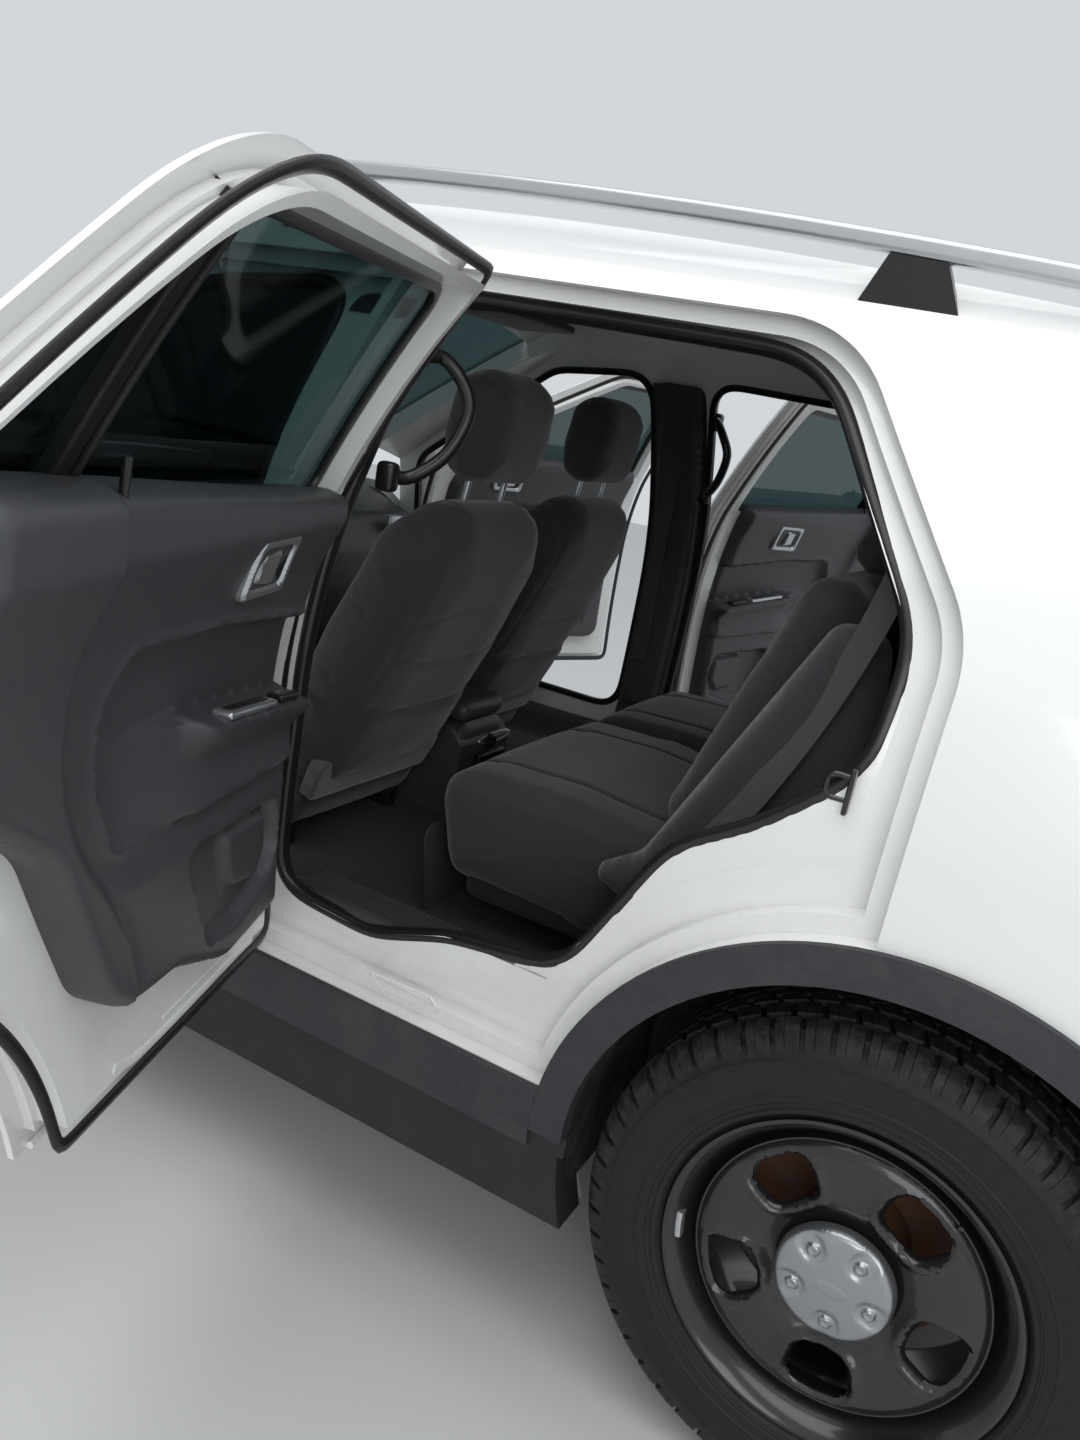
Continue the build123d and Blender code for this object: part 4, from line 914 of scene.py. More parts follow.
def inner_seal(outline, section, depth, out):
    """A seal on the cabin side of the door: its section points inwards."""
    path = softened(evened(grown(outline, out), 18.0), 3)
    area = (path[:, 0] * np.roll(path[:, 1], -1) - np.roll(path[:, 0], -1) * path[:, 1]).sum()
    flip = 1 if area > 0 else -1
    return sweep(on_side(path, depth), np.asarray(section) * (flip, 1), -lean(path), closed=True)


curve = rear_opening[(rear_opening[:, 0] < -725) & (rear_opening[:, 1] < 1200)]
if curve[0, 1] < curve[-1, 1]:
    curve = curve[::-1]
arch_lip_radius, gusset_floor = 566, 69.5
arc = [rear_arch + arch_lip_radius * np.array((math.cos(a), math.sin(a)))
       for a in np.linspace(math.radians(26), math.radians(76.5), 24)]
gusset = np.concatenate((curve, [(-725, 622), (-765, 624), (-792, 622)], np.array(arc), [(-1188, 1200)]))
both_sides("doorway_gusset", relief(gusset, [], 14.0, lambda x, z, depth: 4 + 2 * crown(depth, 5),
                                    lambda x, z, depth: np.zeros(len(x)),
                                    lambda x, z, h: on_side(np.stack((x, z), 1), gusset_floor - h)),
           "white_paint")
bulb_depth, bulb_out = 73.0, 7.0
both_sides("rear_doorway_bulb", seal(rear_opening, bulb_section, bulb_depth, bulb_out), "black_plastic")
both_sides("front_doorway_bulb", seal(front_opening, bulb_section, bulb_depth, bulb_out), "black_plastic")
rear_door_edge = cut_by_arch(rounded([(-171, 486, 20), (-171, 1240, 380), (-200, 1642, 15), (-964, 1634, 214),
                                      (-1237, 1276, 184), (-1232, 486, 0)]), 500.0)
front_door_edge = rounded([(-165, 486, 20), (878, 486, 54), (878, 1258, 54), (260, 1636, 154),
                           (-195, 1642, 15), (-165, 1240, 400)])
lip_section = rounded([(-9, -4, 2), (9, -4, 2), (9, 0, 2), (0, 2.2, 3), (-9, 0, 2)], 4.0)
for row, outline in (("rear", rear_door_edge), ("front", front_door_edge)):
    door_piece("door_seal", inner_seal(outline, lip_section, 60.0, -17.0), "black_plastic", row)
print("rear doorway outline:", len(rear_opening), "points")

# %% [markdown]
# The inner trim of a rear door is one large soft moulding: a rolled top, a hollow insert, an armrest
# with a pull cup, a map pocket, and a raised tail that curls round the wheel arch. It is drawn as
# heights over its outline. The distance to each inner outline gives every roll and step its rounding.

# %% Rear door trims
trim_edge = rounded([(-254, 594, 30), (-252, 1290, 25), (-540, 1303, 60), (-950, 1329, 60), (-1132, 1338, 40),
                     (-1140, 1210, 60), (-1138, 1100, 90), (-1030, 1000, 200), (-912, 922, 120), (-796, 698, 120),
                     (-722, 648, 60), (-604, 640, 60), (-452, 582, 60)], 10.0)
trim_edge = grown(trim_edge, -5.0)
insert_edge = rounded([(-205, 1085, 30), (-560, 1124, 200), (-800, 1134, 50), (-838, 1070, 50), (-815, 965, 60),
                       (-775, 885, 45), (-600, 872, 200), (-205, 850, 30)], 10.0)
rear_lip_edge = rounded([(-921, 1400, 0), (-921, 1127, 60), (-908, 1052, 60), (-888, 993, 60), (-853, 924, 60),
                         (-795, 852, 60), (-745, 775, 60), (-715, 692, 40), (-700, 500, 0), (-1300, 500, 0),
                         (-1300, 1400, 0)], 10.0)
pocket_edge = rounded([(-600, 825, 22), (-300, 806, 30), (-275, 735, 40), (-300, 668, 40), (-410, 634, 50),
                       (-520, 640, 30)], 8.0)
speaker_edge = rounded([(-470, 800, 20), (-312, 788, 25), (-302, 715, 25), (-345, 672, 25), (-440, 690, 30)], 8.0)


def on_door(depth_zero=60.0):
    """Puts heights on the inner side of the left door: a larger height stands further into the cabin."""
    def place(x, z, height):
        return np.stack((x, side_y(x, np.minimum(z, 1245), depth_zero) - height, z), 1)
    return place


def shelf_top(x):
    """The height above the ground of the armrest's top along the rear door."""
    return np.interp(x, (-620, -416, -235), (1012, 989, 965))


def rear_trim_height(x, z, depth):
    flat = np.stack((x, z), 1)
    height = 4 + 34 * crown(depth, 26)
    height += 12 * rise(z, 1150, 1260) * (1 - rise(z, 1296, 1330))
    insert = inside(flat, insert_edge)
    within = rise(insert, 0, 11)
    height -= 24 * within
    height += 3 * np.exp(-((insert + 4) / 6.0) ** 2)
    lip = inside(flat, rear_lip_edge)
    height += 18 * rise(lip, -3, 16)
    shelf = shelf_top(x) - z
    lip_part = 26 * rise(x, -642, -598) * (1 - rise(shelf, 14, 60))
    body_part = 36 * rise(x, -780, -560) + 10 * rise(shelf, 60, 140)
    height += within * rise(shelf, -3, 9) * (lip_part + body_part)
    height += 10 * rise(880 - z, 0, 60) * (1 - rise(lip, -20, 20))
    height -= 24 * rise(inside(flat, pocket_edge), 0, 14) * rise(depth, 4, 16)
    height += 15 * rise(inside(flat, speaker_edge), 0, 14)
    return np.maximum(height, 3.0)


def flat_back(x, z, depth):
    return np.zeros(len(x))


rear_trims = door_piece("inner_trim", relief(trim_edge, [], 7.5, rear_trim_height, flat_back, on_door()),
                        "charcoal_trim", "rear", 50.0)
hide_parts("door_rear_left_trim")
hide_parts("door_rear_right_trim")
tell("inner_trim_rear")

# %% [markdown]
# The release sits in a silver bezel: a ring with soft edges, a dark cup behind it and a bright lever
# across it. The same unit is used on all four doors, so one function makes it for any place.


# %% Handle bezels, pull cups and switches
def bezel_parts(x, z, trim_height, edge, wide=132.0, high=84.0):
    outline = rounded([(x - wide / 2, z - high / 2, 14), (x + wide / 2, z - high / 2, 14),
                       (x + wide / 2, z + high / 2, 14), (x - wide / 2, z + high / 2, 14)], 5.0)
    hollow = rounded([(x - wide / 2 + 17, z - high / 2 + 15, 10), (x + wide / 2 - 17, z - high / 2 + 15, 10),
                      (x + wide / 2 - 17, z + high / 2 - 15, 10), (x - wide / 2 + 17, z + high / 2 - 15, 10)], 5.0)
    base = float(trim_height(np.array([x]), np.array([z]), inside(np.array([[x, z]]), edge))[0])

    def ring_front(u, v, depth):
        return base + 2 + 5 * crown(depth, 6)

    def ring_back(u, v, depth):
        return np.full(len(u), base - 12.0)

    def cup_front(u, v, depth):
        return base + 2.5 - 3 * rise(depth, 0, 14)

    lever = rounded([(x - 34, z - 22, 6), (x + 12, z - 24, 6), (x + 12, z + 24, 6), (x - 34, z + 22, 6)], 4.0)

    def lever_front(u, v, depth):
        return base + 2 + 5 * crown(depth, 8) + 3 * np.sin((u - x) / 14.0)

    place = on_door()
    return (relief(outline, [hollow], 4.0, ring_front, ring_back, place),
            relief(hollow, [], 5.0, cup_front, ring_back, place),
            relief(lever, [], 4.0, lever_front, ring_back, place))


ring, cup, lever = bezel_parts(-500, 1196, rear_trim_height, trim_edge)
door_piece("handle_bezel", ring, "satin_silver", "rear")
door_piece("handle_cup", cup, "black_plastic", "rear")
door_piece("handle_lever", lever, "satin_silver", "rear")


def shelf_block(low, high, radius):
    """A round-edged block on the armrest: x, height off the door and height over the shelf."""
    points, faces = soft_box(low, high, radius)
    points = np.asarray(points, float)
    placed = on_door()(points[:, 0], points[:, 2] + shelf_top(points[:, 0]), points[:, 1])
    return placed, [face[::-1] for face in faces]


door_piece("pull_cup", shelf_block((-560, 40, -8), (-400, 72, 4), 5), "satin_silver", "rear")
door_piece("pull_grip", shelf_block((-545, 46, -6), (-418, 64, 6), 4), "black_plastic", "rear")
door_piece("window_switch", shelf_block((-375, 42, -6), (-305, 68, 6), 4), "black_plastic", "rear")
tell("handle_", "pull_", "window_switch")

# %% [markdown]
# Seats are foam under cloth. Each pad is drawn as a closed form with crowned faces: a flat outline, a
# front and a back that swell from it, and sewn lines that pull the cover in. A short cloth simulation
# with a little pressure then relaxes the cover, as a seat maker's cover relaxes over its foam.

# %% Padded forms
def pad(outline, thick, place, step=14.0, seams=(), edge=40.0, back_part=0.5, groove=6.0, swell=0.0):
    """A cushion over an outline. Seams are (points, width) lines that pull its front in."""
    def seam_pull(u, v):
        pull = np.zeros(len(u))
        flat = np.stack((u, v), 1)
        for line in seams:
            pull = np.maximum(pull, np.exp(-(line_distance(flat, np.asarray(line, float)) / groove) ** 2))
        return pull

    def front(u, v, depth):
        height = thick * (1 - back_part) * crown(depth, edge)
        middle = rise(depth, 0, 120)
        return height + swell * middle - 7.0 * seam_pull(u, v) * rise(depth, 8, 45)

    def back(u, v, depth):
        return -thick * back_part * crown(depth, edge)

    return relief(outline, [], step, front, back, place)


def line_distance(flat, line):
    best = np.full(len(flat), 1e9)
    for (ax, ay), (bx, by) in zip(line[:-1], line[1:]):
        dx, dy = bx - ax, by - ay
        along = np.clip(((flat[:, 0] - ax) * dx + (flat[:, 1] - ay) * dy) / (dx * dx + dy * dy), 0, 1)
        best = np.minimum(best, np.hypot(flat[:, 0] - ax - along * dx, flat[:, 1] - ay - along * dy))
    return best


def on_plane(origin, u_axis, v_axis):
    """Puts an outline's u and v on a slanted plane, with heights across it."""
    u_axis = np.asarray(u_axis, float) / np.linalg.norm(u_axis)
    v_axis = np.asarray(v_axis, float) / np.linalg.norm(v_axis)
    out = np.cross(u_axis, v_axis)

    def place(u, v, height):
        return (np.asarray(origin, float) + u[:, None] * u_axis + v[:, None] * v_axis
                + height[:, None] * out)
    return place


def relax(obj, pressure=3.0, cap=0.008, frames=14):
    """Cloth with a little pressure, applied to the mesh, with each point's move capped."""
    before = [v.co.copy() for v in obj.data.vertices]
    cloth_mod = obj.modifiers.new("cover", "CLOTH")
    settings = cloth_mod.settings
    settings.quality = 5
    settings.use_pressure = True
    settings.uniform_pressure_force = pressure
    settings.effector_weights.gravity = 0.0
    settings.tension_stiffness = 12.0
    settings.bending_stiffness = 0.6
    cloth_mod.point_cache.frame_start = 1
    cloth_mod.point_cache.frame_end = frames
    for frame_number in range(1, frames + 1):
        scene.frame_set(frame_number)
    graph = bpy.context.evaluated_depsgraph_get()
    after = [v.co.copy() for v in obj.evaluated_get(graph).data.vertices]
    obj.modifiers.remove(cloth_mod)
    for vert, old, new in zip(obj.data.vertices, before, after):
        move = new - old
        if move.length > cap:
            move *= cap / move.length
        vert.co = old + move
    obj.data.update()
    scene.frame_set(1)


print("cloth is", "simulated for each padded piece")

# %% [markdown]
# The rear bench is split. The near part has a centre panel in a knitted pattern between plain bolsters,
# with a piped seam on each side and a plain valance below. The backrest leans back against the load
# space, and a narrow bolster closes the gap beside the door.

# %% Rear bench
def cushion_form(y_low, y_high, seams):
    """A seat cushion: its side profile carried across, with round ends and seams drawn in."""
    profile = rounded([(-395, 560, 46), (-372, 600, 60), (-345, 700, 60), (-352, 772, 42), (-600, 782, 300),
                       (-838, 758, 40), (-850, 640, 46), (-700, 545, 46)], 12.0)
    edge = 44.0
    ends = [0.0, 0.03, 0.12, 0.28, 0.5, 0.75, 1.0]
    stations = [(y_low + edge * t, edge * (1 - math.sqrt(max(0.0, 1 - (1 - t) ** 2)))) for t in ends]
    count = int((y_high - y_low - 2 * edge) / 14)
    stations += [(y, 0.0) for y in np.linspace(y_low + edge, y_high - edge, count)[1:-1]]
    stations += [(y_high - edge * t, edge * (1 - math.sqrt(max(0.0, 1 - (1 - t) ** 2)))) for t in ends[::-1]]
    extra = [y + d for y in seams for d in (-7, -3.5, 0, 3.5, 7)]
    stations = sorted(stations + [(y, 0.0) for y in extra])
    rings = []
    for y, inset in stations:
        pull = max([0.0] + [7.0 * math.exp(-((y - s) / 4.5) ** 2) for s in seams])
        ring = grown(profile, -(inset * 0.8 + pull))
        span = (y - y_low) / (y_high - y_low)
        crownish = 14 * math.sin(math.pi * min(1, max(0, span))) ** 0.7
        top = rise(ring[:, 1], 700, 770) * rise(ring[:, 0], -850, -700)
        ring = ring + np.stack((np.zeros(len(ring)), crownish * top - 14 * top), 1)
        rings.append(np.stack((ring[:, 0], np.full(len(ring), y), ring[:, 1]), 1))
    size = len(profile)
    points = np.concatenate(rings)
    faces = [[a * size + i, a * size + (i + 1) % size, (a + 1) * size + (i + 1) % size, (a + 1) * size + i]
             for a in range(len(rings) - 1) for i in range(size)]
    for row, turn in ((0, 1), (len(rings) - 1, -1)):
        middle = rings[row].mean(0)
        points = np.concatenate((points, [middle]))
        faces += [[len(points) - 1, row * size + i, row * size + (i + 1) % size][::turn] for i in range(size)]
    return points, faces


bench_split = -70.0
near_cushion = add_piece("bench_cushion_near", cushion_form(bench_split + 4, 598, (100.0, 470.0)), "bench_cloth",
                         "shell", 60.0, "seat_fabric")
far_cushion = add_piece("bench_cushion_far", cushion_form(-598, bench_split - 4, (-470.0, -190.0)), "bench_cloth",
                        "shell", 60.0, "seat_fabric")
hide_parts("rear_seat")
back_place = on_plane((-832, 0, 770), (0, 1, 0), (-0.33, 0, 0.944))


def bench_back(name, y_low, y_high, seams, high=545):
    outline = rounded([(y_low, 10, 40), (y_high, 10, 40), (y_high, high - 40, 50), (y_high - 40, high, 60),
                       (y_low + 40, high, 60), (y_low, high - 40, 50)], 12.0)
    return add_piece(name, pad(outline, 118, back_place, 13.0, seams, 46.0, 0.55), "bench_cloth", "shell", 60.0,
                     "seat_fabric")


near_back = bench_back("bench_back_near", bench_split + 4, 598,
                       ([(100, 0), (110, 520)], [(470, 0), (450, 520)], [(105, 430), (455, 430)]))
far_back = bench_back("bench_back_far", -598, bench_split - 4,
                      ([(-470, 0), (-450, 520)], [(-190, 0), (-195, 520)], [(-460, 430), (-192, 430)]))
bench_rests = []
for rest_y in (-380, 0, 380):
    outline = rounded([(rest_y - 118, 552, 30), (rest_y + 118, 552, 30), (rest_y + 100, 700, 50),
                       (rest_y - 100, 700, 50)], 11.0)
    bench_rests.append(add_piece(f"bench_headrest_{rest_y + 380}", pad(outline, 86, back_place, 12.0, (), 42.0),
                                 "seat_cloth", "shell", 60.0, "seat_fabric"))
valance = relief(rounded([(-590, 462, 20), (590, 462, 20), (596, 640, 30), (-596, 640, 30)]), [], 24.0,
                 lambda u, v, depth: 6 * crown(depth, 12) + 3 * np.sin(v / 30.0), flat_back,
                 on_plane((-412, 0, 0), (0, 1, 0), (0.12, 0, 1)))
add_piece("bench_valance", valance, "charcoal_trim", "shell", 45.0)
bench_base = soft_box((-860, -580, 520), (-430, 580, 640), 20)
add_piece("bench_base", bench_base, "floor_carpet", "shell")
back_board = soft_box((-1105, -585, 660), (-1085, 585, 1240), 8)
add_piece("bench_back_board", turned(back_board, "Y", (-1095, 0, 660), -4), "floor_carpet", "shell")
tell("bench_")

# %% [markdown]
# Beside the bench a triangular bolster fills the space up to the wheelhouse. The outer belt comes down
# over it to a latch plate: flat webbing, so it is a thin strip with its own weave.

# %% Side bolsters and rear belts
bolster_edge = rounded([(-700, 700, 20), (-800, 770, 60), (-1035, 1235, 40), (-1120, 1240, 50), (-1150, 1000, 80),
                        (-1075, 760, 60), (-860, 655, 60)], 10.0)


def bolster_place(x, z, height):
    return np.stack((x, 640 + 60 * rise(-x, 700, 1100) + height, z), 1)


both_sides("side_bolster", pad(bolster_edge, 80, bolster_place, 11.0, ([(-790, 745), (-1045, 1215)],), 34.0),
           "seat_cloth", slot="seat_fabric", sharp=60.0)


def belt(path, out, width=46.0, thick=1.6):
    section = [(-width / 2, -thick / 2), (width / 2, -thick / 2), (width / 2, thick / 2), (-width / 2, thick / 2)]
    return sweep(smooth_path(path, 16.0), section, out)


def hang_belt(name, path, out, width=46.0):
    """A belt on each side, webbing swept along its path."""
    line = smooth_path(path, 16.0)
    shape = belt(path, out, width)
    for side, form in (("left", shape), ("right", mirrored(shape))):
        piece = add_piece(f"{name}_{side}", form, "belt_webbing", "shell", slot="black_cloth")


hang_belt("rear_belt", [(-1125, 772, 1420), (-1110, 760, 1300), (-1060, 742, 1130), (-990, 735, 960),
                               (-930, 728, 850), (-905, 715, 790)], (0.35, 0.9, 0.25))
plate = soft_box((-26, -5, -14), (26, 5, 14), 4)
tongue = soft_box((-12, -2, -40), (12, 2, -12), 1.5)
latch = moved(turned(joined(plate, tongue), "Y", (0, 0, 0), 32), (-935, 731, 862))
both_sides("rear_latch_plate", latch, "black_plastic")

# %% [markdown]
# A front seat's back is wide at the shoulders and narrow at the waist. Its rear face carries two pockets,
# one above the other, and a carpet strip at its foot. The headrest is a rounded block on two posts.

# %% Front seats
seat_y = 370.0
seat_forward = {1: 0.0, -1: 120.0}
lean_axis = (-0.385, 0, 0.923)


def front_seat(side):
    ahead, middle = seat_forward[side], seat_y * side
    name = "left" if side > 0 else "right"
    place = on_plane((22 + ahead, middle, 640), (0, 1, 0), lean_axis)
    back_edge = rounded([(-205, -30, 60), (205, -30, 60), (248, 120, 120), (262, 330, 160), (238, 560, 110),
                         (150, 668, 90), (-150, 668, 90), (-238, 560, 110), (-262, 330, 160),
                         (-248, 120, 120)], 11.0)

    def front(u, v, depth):
        bolster = 26 * rise(np.abs(u), 120, 200)
        return 58 * crown(depth, 50) + bolster * crown(depth, 40)

    def back(u, v, depth):
        swell = -62 * crown(depth, 60) - 22 * rise(depth, 0, 150)
        top_pocket = np.exp(-((v - 330 - 0.0004 * u * u) / 5.0) ** 2)
        low_pocket = np.exp(-((v - 205 - 0.0004 * u * u) / 5.0) ** 2)
        below = rise(212 - v, 0, 10) * (1 - rise(-v, -60, -30)) * rise(200 - np.abs(u), 0, 30)
        sides = np.exp(-((np.abs(u) - 205 + 0.06 * (v - 300)) / 4.5) ** 2) * rise(depth, 8, 20)
        arch = np.exp(-((v - 470 + 0.0012 * u * u) / 5.0) ** 2) * rise(200 - np.abs(u), 0, 10)
        wave = 3.0 * np.sin(u / 46.0 + v / 70.0) * below
        return (swell + 6.0 * (top_pocket + low_pocket) * rise(205 - np.abs(u), 0, 15) + 6 * sides + 4 * arch
                - 10 * below - wave)

    seat_back = add_piece(f"seat_back_{name}", relief(back_edge, [], 11.0, front, back, place), "seat_cloth",
                          "shell", 60.0, "seat_fabric")
    rest_place = on_plane((-212 + ahead, middle, 1285), (0, 1, 0), (-0.09, 0, 0.996))
    rest_edge = rounded([(-105, 8, 45), (105, 8, 45), (140, 90, 70), (128, 205, 60), (70, 226, 70), (-70, 226, 70),
                         (-128, 205, 60), (-140, 90, 70)], 10.0)

    def rest_back(u, v, depth):
        band = np.exp(-((v - 40) / 4.0) ** 2) + np.exp(-((v - 190) / 4.0) ** 2)
        return -66 * crown(depth, 58) + 3.0 * band * rise(depth, 0, 12)

    def rest_front(u, v, depth):
        return 60 * crown(depth, 55)

    headrest = add_piece(f"seat_headrest_{name}", relief(rest_edge, [], 9.0, rest_front, rest_back, rest_place),
                         "seat_cloth", "shell", 60.0, "seat_fabric")
    cushion_edge = rounded([(-240, -60, 50), (240, -60, 50), (250, 250, 80), (235, 470, 90), (-235, 470, 90),
                            (-250, 250, 80)], 14.0)
    cushion = add_piece(f"seat_cushion_{name}",
                        pad(cushion_edge, 135, on_plane((40 + ahead, middle, 575), (0, -1, 0), (1, 0, 0.1)), 15.0,
                            ([(-150, -60), (-150, 470)], [(150, -60), (150, 470)]), 55.0),
                        "seat_cloth", "shell", 60.0, "seat_fabric")
    posts = joined(*[sweep(smooth_path([(-205 + ahead, middle + d, 1225), (-216 + ahead, middle + d, 1310)]),
                           round_section(7, 1.0, 12), (1, 0, 0)) for d in (-70, 70)])
    add_piece(f"headrest_posts_{name}", posts, "satin_silver", "shell")
    strip = relief(rounded([(-214, -6, 20), (214, -6, 20), (226, 96, 25), (-226, 96, 25)], 7.0), [], 7.0,
                   lambda u, v, depth: 3 + 5 * crown(depth, 8) + 1.6 * np.sin(u / 2.3) * np.cos(v / 2.9),
                   lambda u, v, depth: np.full(len(u), -24.0),
                   on_plane((-30 + ahead, middle, 592), (0, -1, 0), (-0.33, 0, 0.94)))
    add_piece(f"seat_carpet_strip_{name}", strip, "carpet_fuzz", "shell", 60.0, "floor_carpet")
    base = joined(*[soft_box((20 + ahead, middle + d - 18, 455), (440 + ahead, middle + d + 18, 520), 8)
                    for d in (-185, 185)],
                  soft_box((30 + ahead, middle - 200, 505), (430 + ahead, middle + 200, 540), 12))
    add_piece(f"seat_rails_{name}", base, "black_plastic", "shell")
    return seat_back, headrest, cushion


soft_pieces = []
for side in (1, -1):
    soft_pieces.extend(front_seat(side))
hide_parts("front_seats")
for piece in soft_pieces + [near_cushion, far_cushion, near_back, far_back] + bench_rests:
    relax(piece, 4.0, 0.006, 10)
print("padded pieces:", len(soft_pieces) + 4 + len(bench_rests))

# %% [markdown]
# Between the seats stands the console. Its rear face is a curved panel with a round knob, a socket lid
# and a silver edge. The sill beside the bench has a ribbed scuff plate: one rib, repeated along it.

# %% Console, scuff plates and carpet
console = relief(rounded([(-116, 455, 20), (116, 455, 20), (112, 690, 60), (-112, 690, 60)], 9.0), [], 12.0,
                 lambda u, v, depth: 12 * crown(depth, 26) + 8 * rise(v, 560, 660), flat_back,
                 on_plane((-112, 0, 0), (0, -1, 0), (0.05, 0, 1)))
add_piece("console_rear_panel", console, "charcoal_trim", "shell", 45.0)
console_ring = sweep([(-133, 74 * math.cos(a), 655 + 12 * math.sin(a)) for a in np.linspace(0, 2 * math.pi, 40)[:-1]],
                     round_section(3.0, 1.0, 8), (-1, 0, 0), closed=True)
add_piece("console_silver_edge", console_ring, "satin_silver", "shell")
knob = turned(lathe([(0, 0), (16, 0), (18, 3), (18, 16), (15, 19), (0, 19)], (0, 0), 32), "Z", (0, 0, 0), 90)
add_piece("console_knob", moved(knob, (-130, 30, 652)), "black_plastic", "shell")
add_piece("console_lid", soft_box((-138, -60, 560), (-118, 60, 618), 6), "black_plastic", "shell")
arm_pad = soft_box((-96, -92, 690), (210, 92, 742), 22, 4)
add_piece("console_armrest", arm_pad, "charcoal_trim", "shell")


def plate_tree():
    """Geometry Nodes: one long rib repeated side by side."""
    tree = bpy.data.node_groups.new("scuff_ribs", "GeometryNodeTree")
    names = (("Ribs", "NodeSocketInt", 9), ("Spacing", "NodeSocketFloat", 0.009),
             ("Length", "NodeSocketFloat", 0.5), ("Finish", "NodeSocketMaterial", None))
    tree.interface.new_socket("Geometry", in_out="INPUT", socket_type="NodeSocketGeometry")
    for label, kind, value in names:
        made = tree.interface.new_socket(label, in_out="INPUT", socket_type=kind)
        if value is not None:
            made.default_value = value
    tree.interface.new_socket("Geometry", in_out="OUTPUT", socket_type="NodeSocketGeometry")
    source = tree.nodes.new("NodeGroupInput")
    sink = tree.nodes.new("NodeGroupOutput")
    row = tree.nodes.new("GeometryNodeMeshLine")
    step = tree.nodes.new("ShaderNodeCombineXYZ")
    rib = tree.nodes.new("GeometryNodeMeshCube")
    size = tree.nodes.new("ShaderNodeCombineXYZ")
    size.inputs[1].default_value = 0.0045
    size.inputs[2].default_value = 0.003
    spread = tree.nodes.new("GeometryNodeInstanceOnPoints")
    real = tree.nodes.new("GeometryNodeRealizeInstances")
    paint = tree.nodes.new("GeometryNodeSetMaterial")
    link = tree.links.new
    link(source.outputs["Ribs"], row.inputs["Count"])
    link(source.outputs["Spacing"], step.inputs[1])
    link(step.outputs[0], row.inputs["Offset"])
    link(source.outputs["Length"], size.inputs[0])
    link(size.outputs[0], rib.inputs["Size"])
    link(row.outputs["Mesh"], spread.inputs["Points"])
    link(rib.outputs["Mesh"], spread.inputs["Instance"])
    link(spread.outputs["Instances"], real.inputs["Geometry"])
    link(real.outputs["Geometry"], paint.inputs["Geometry"])
    link(source.outputs["Finish"], paint.inputs["Material"])
    link(paint.outputs["Geometry"], sink.inputs["Geometry"])
    return tree


def grow(name, tree, values):
    """The plain mesh that a Geometry Nodes tree makes with these inputs, as points in millimetres."""
    holder = bpy.data.objects.new(name, bpy.data.meshes.new(name))
    scene.collection.objects.link(holder)
    modifier = holder.modifiers.new(name, "NODES")
    modifier.node_group = tree
    for item in tree.interface.items_tree:
        if item.in_out == "INPUT" and item.name in values:
            modifier[item.identifier] = values[item.name]
    graph = bpy.context.evaluated_depsgraph_get()
    mesh = bpy.data.meshes.new_from_object(holder.evaluated_get(graph), depsgraph=graph)
    points = np.array([tuple(v.co) for v in mesh.vertices]) * 1000.0
    faces = [list(p.vertices) for p in mesh.polygons]
    bpy.data.objects.remove(holder)
    bpy.data.meshes.remove(mesh)
    return points, faces


scuff = plate_tree()
rear_ribs = grow("rear_scuff_ribs", scuff, {"Ribs": 9, "Spacing": 0.0085, "Length": 0.30,
                                            "Finish": finishes["black_plastic"]})
scuff_edge = rounded([(-640, 800, 20), (-255, 800, 30), (-255, 905, 30), (-480, 905, 60), (-640, 880, 40)], 10.0)


def on_floor(z):
    return lambda x, y, height: np.stack((x, y, z + height), 1)


scuff_plate = relief(scuff_edge, [], 14.0, lambda u, v, depth: 6 * crown(depth, 8) + 3 * rise(depth, 0, 20),
                     flat_back, on_floor(571))
both_sides("scuff_plate", joined(scuff_plate, moved(rear_ribs, (-420, 812, 582))), "charcoal_trim")
tunnel_hump = relief(rounded([(-640, -140, 60), (-118, -130, 40), (-118, 130, 40), (-640, 140, 60)], 14.0), [], 16.0,
                     lambda u, v, depth: 90 * np.sqrt(crown(depth, 110)), flat_back, on_floor(452.5))
add_piece("tunnel_carpet", tunnel_hump, "floor_carpet", "shell", 60.0)


def carpet_height(u, v, depth):
    return 3 + 5 * np.sin(u / 90.0) * np.sin(v / 120.0) + 80 * rise(np.abs(v), 690, 800) * rise(depth + 60, 0, 60)


carpet_edge = rounded([(-640, -800, 20), (1000, -800, 20), (1000, 800, 20), (-640, 800, 20)], 22.0)
carpet = relief(carpet_edge, [], 24.0, lambda u, v, depth: carpet_height(u, v, depth) + 5,
                lambda u, v, depth: carpet_height(u, v, depth), on_floor(453.5))
add_piece("floor_carpet_mat", carpet, "floor_carpet", "shell", 60.0)
tell("console_", "scuff_", "floor_carpet_mat")

# %% [markdown]
# Grab handles are bars bent like a bow and bolted through two pads. Each pillar also has its belt: the
# webbing leaves a ring at the top and runs down the pillar.

# %% Pillar trims, grab handles and front belts
pillar_edge = rounded([(-234, 590, 30), (-80, 590, 30), (-80, 1300, 60), (-92, 1592, 30), (-238, 1592, 30),
                       (-240, 1300, 60)], 10.0)


def pillar_place(x, z, height):
    return np.stack((x, side_y(x, z, 69) - height, z), 1)


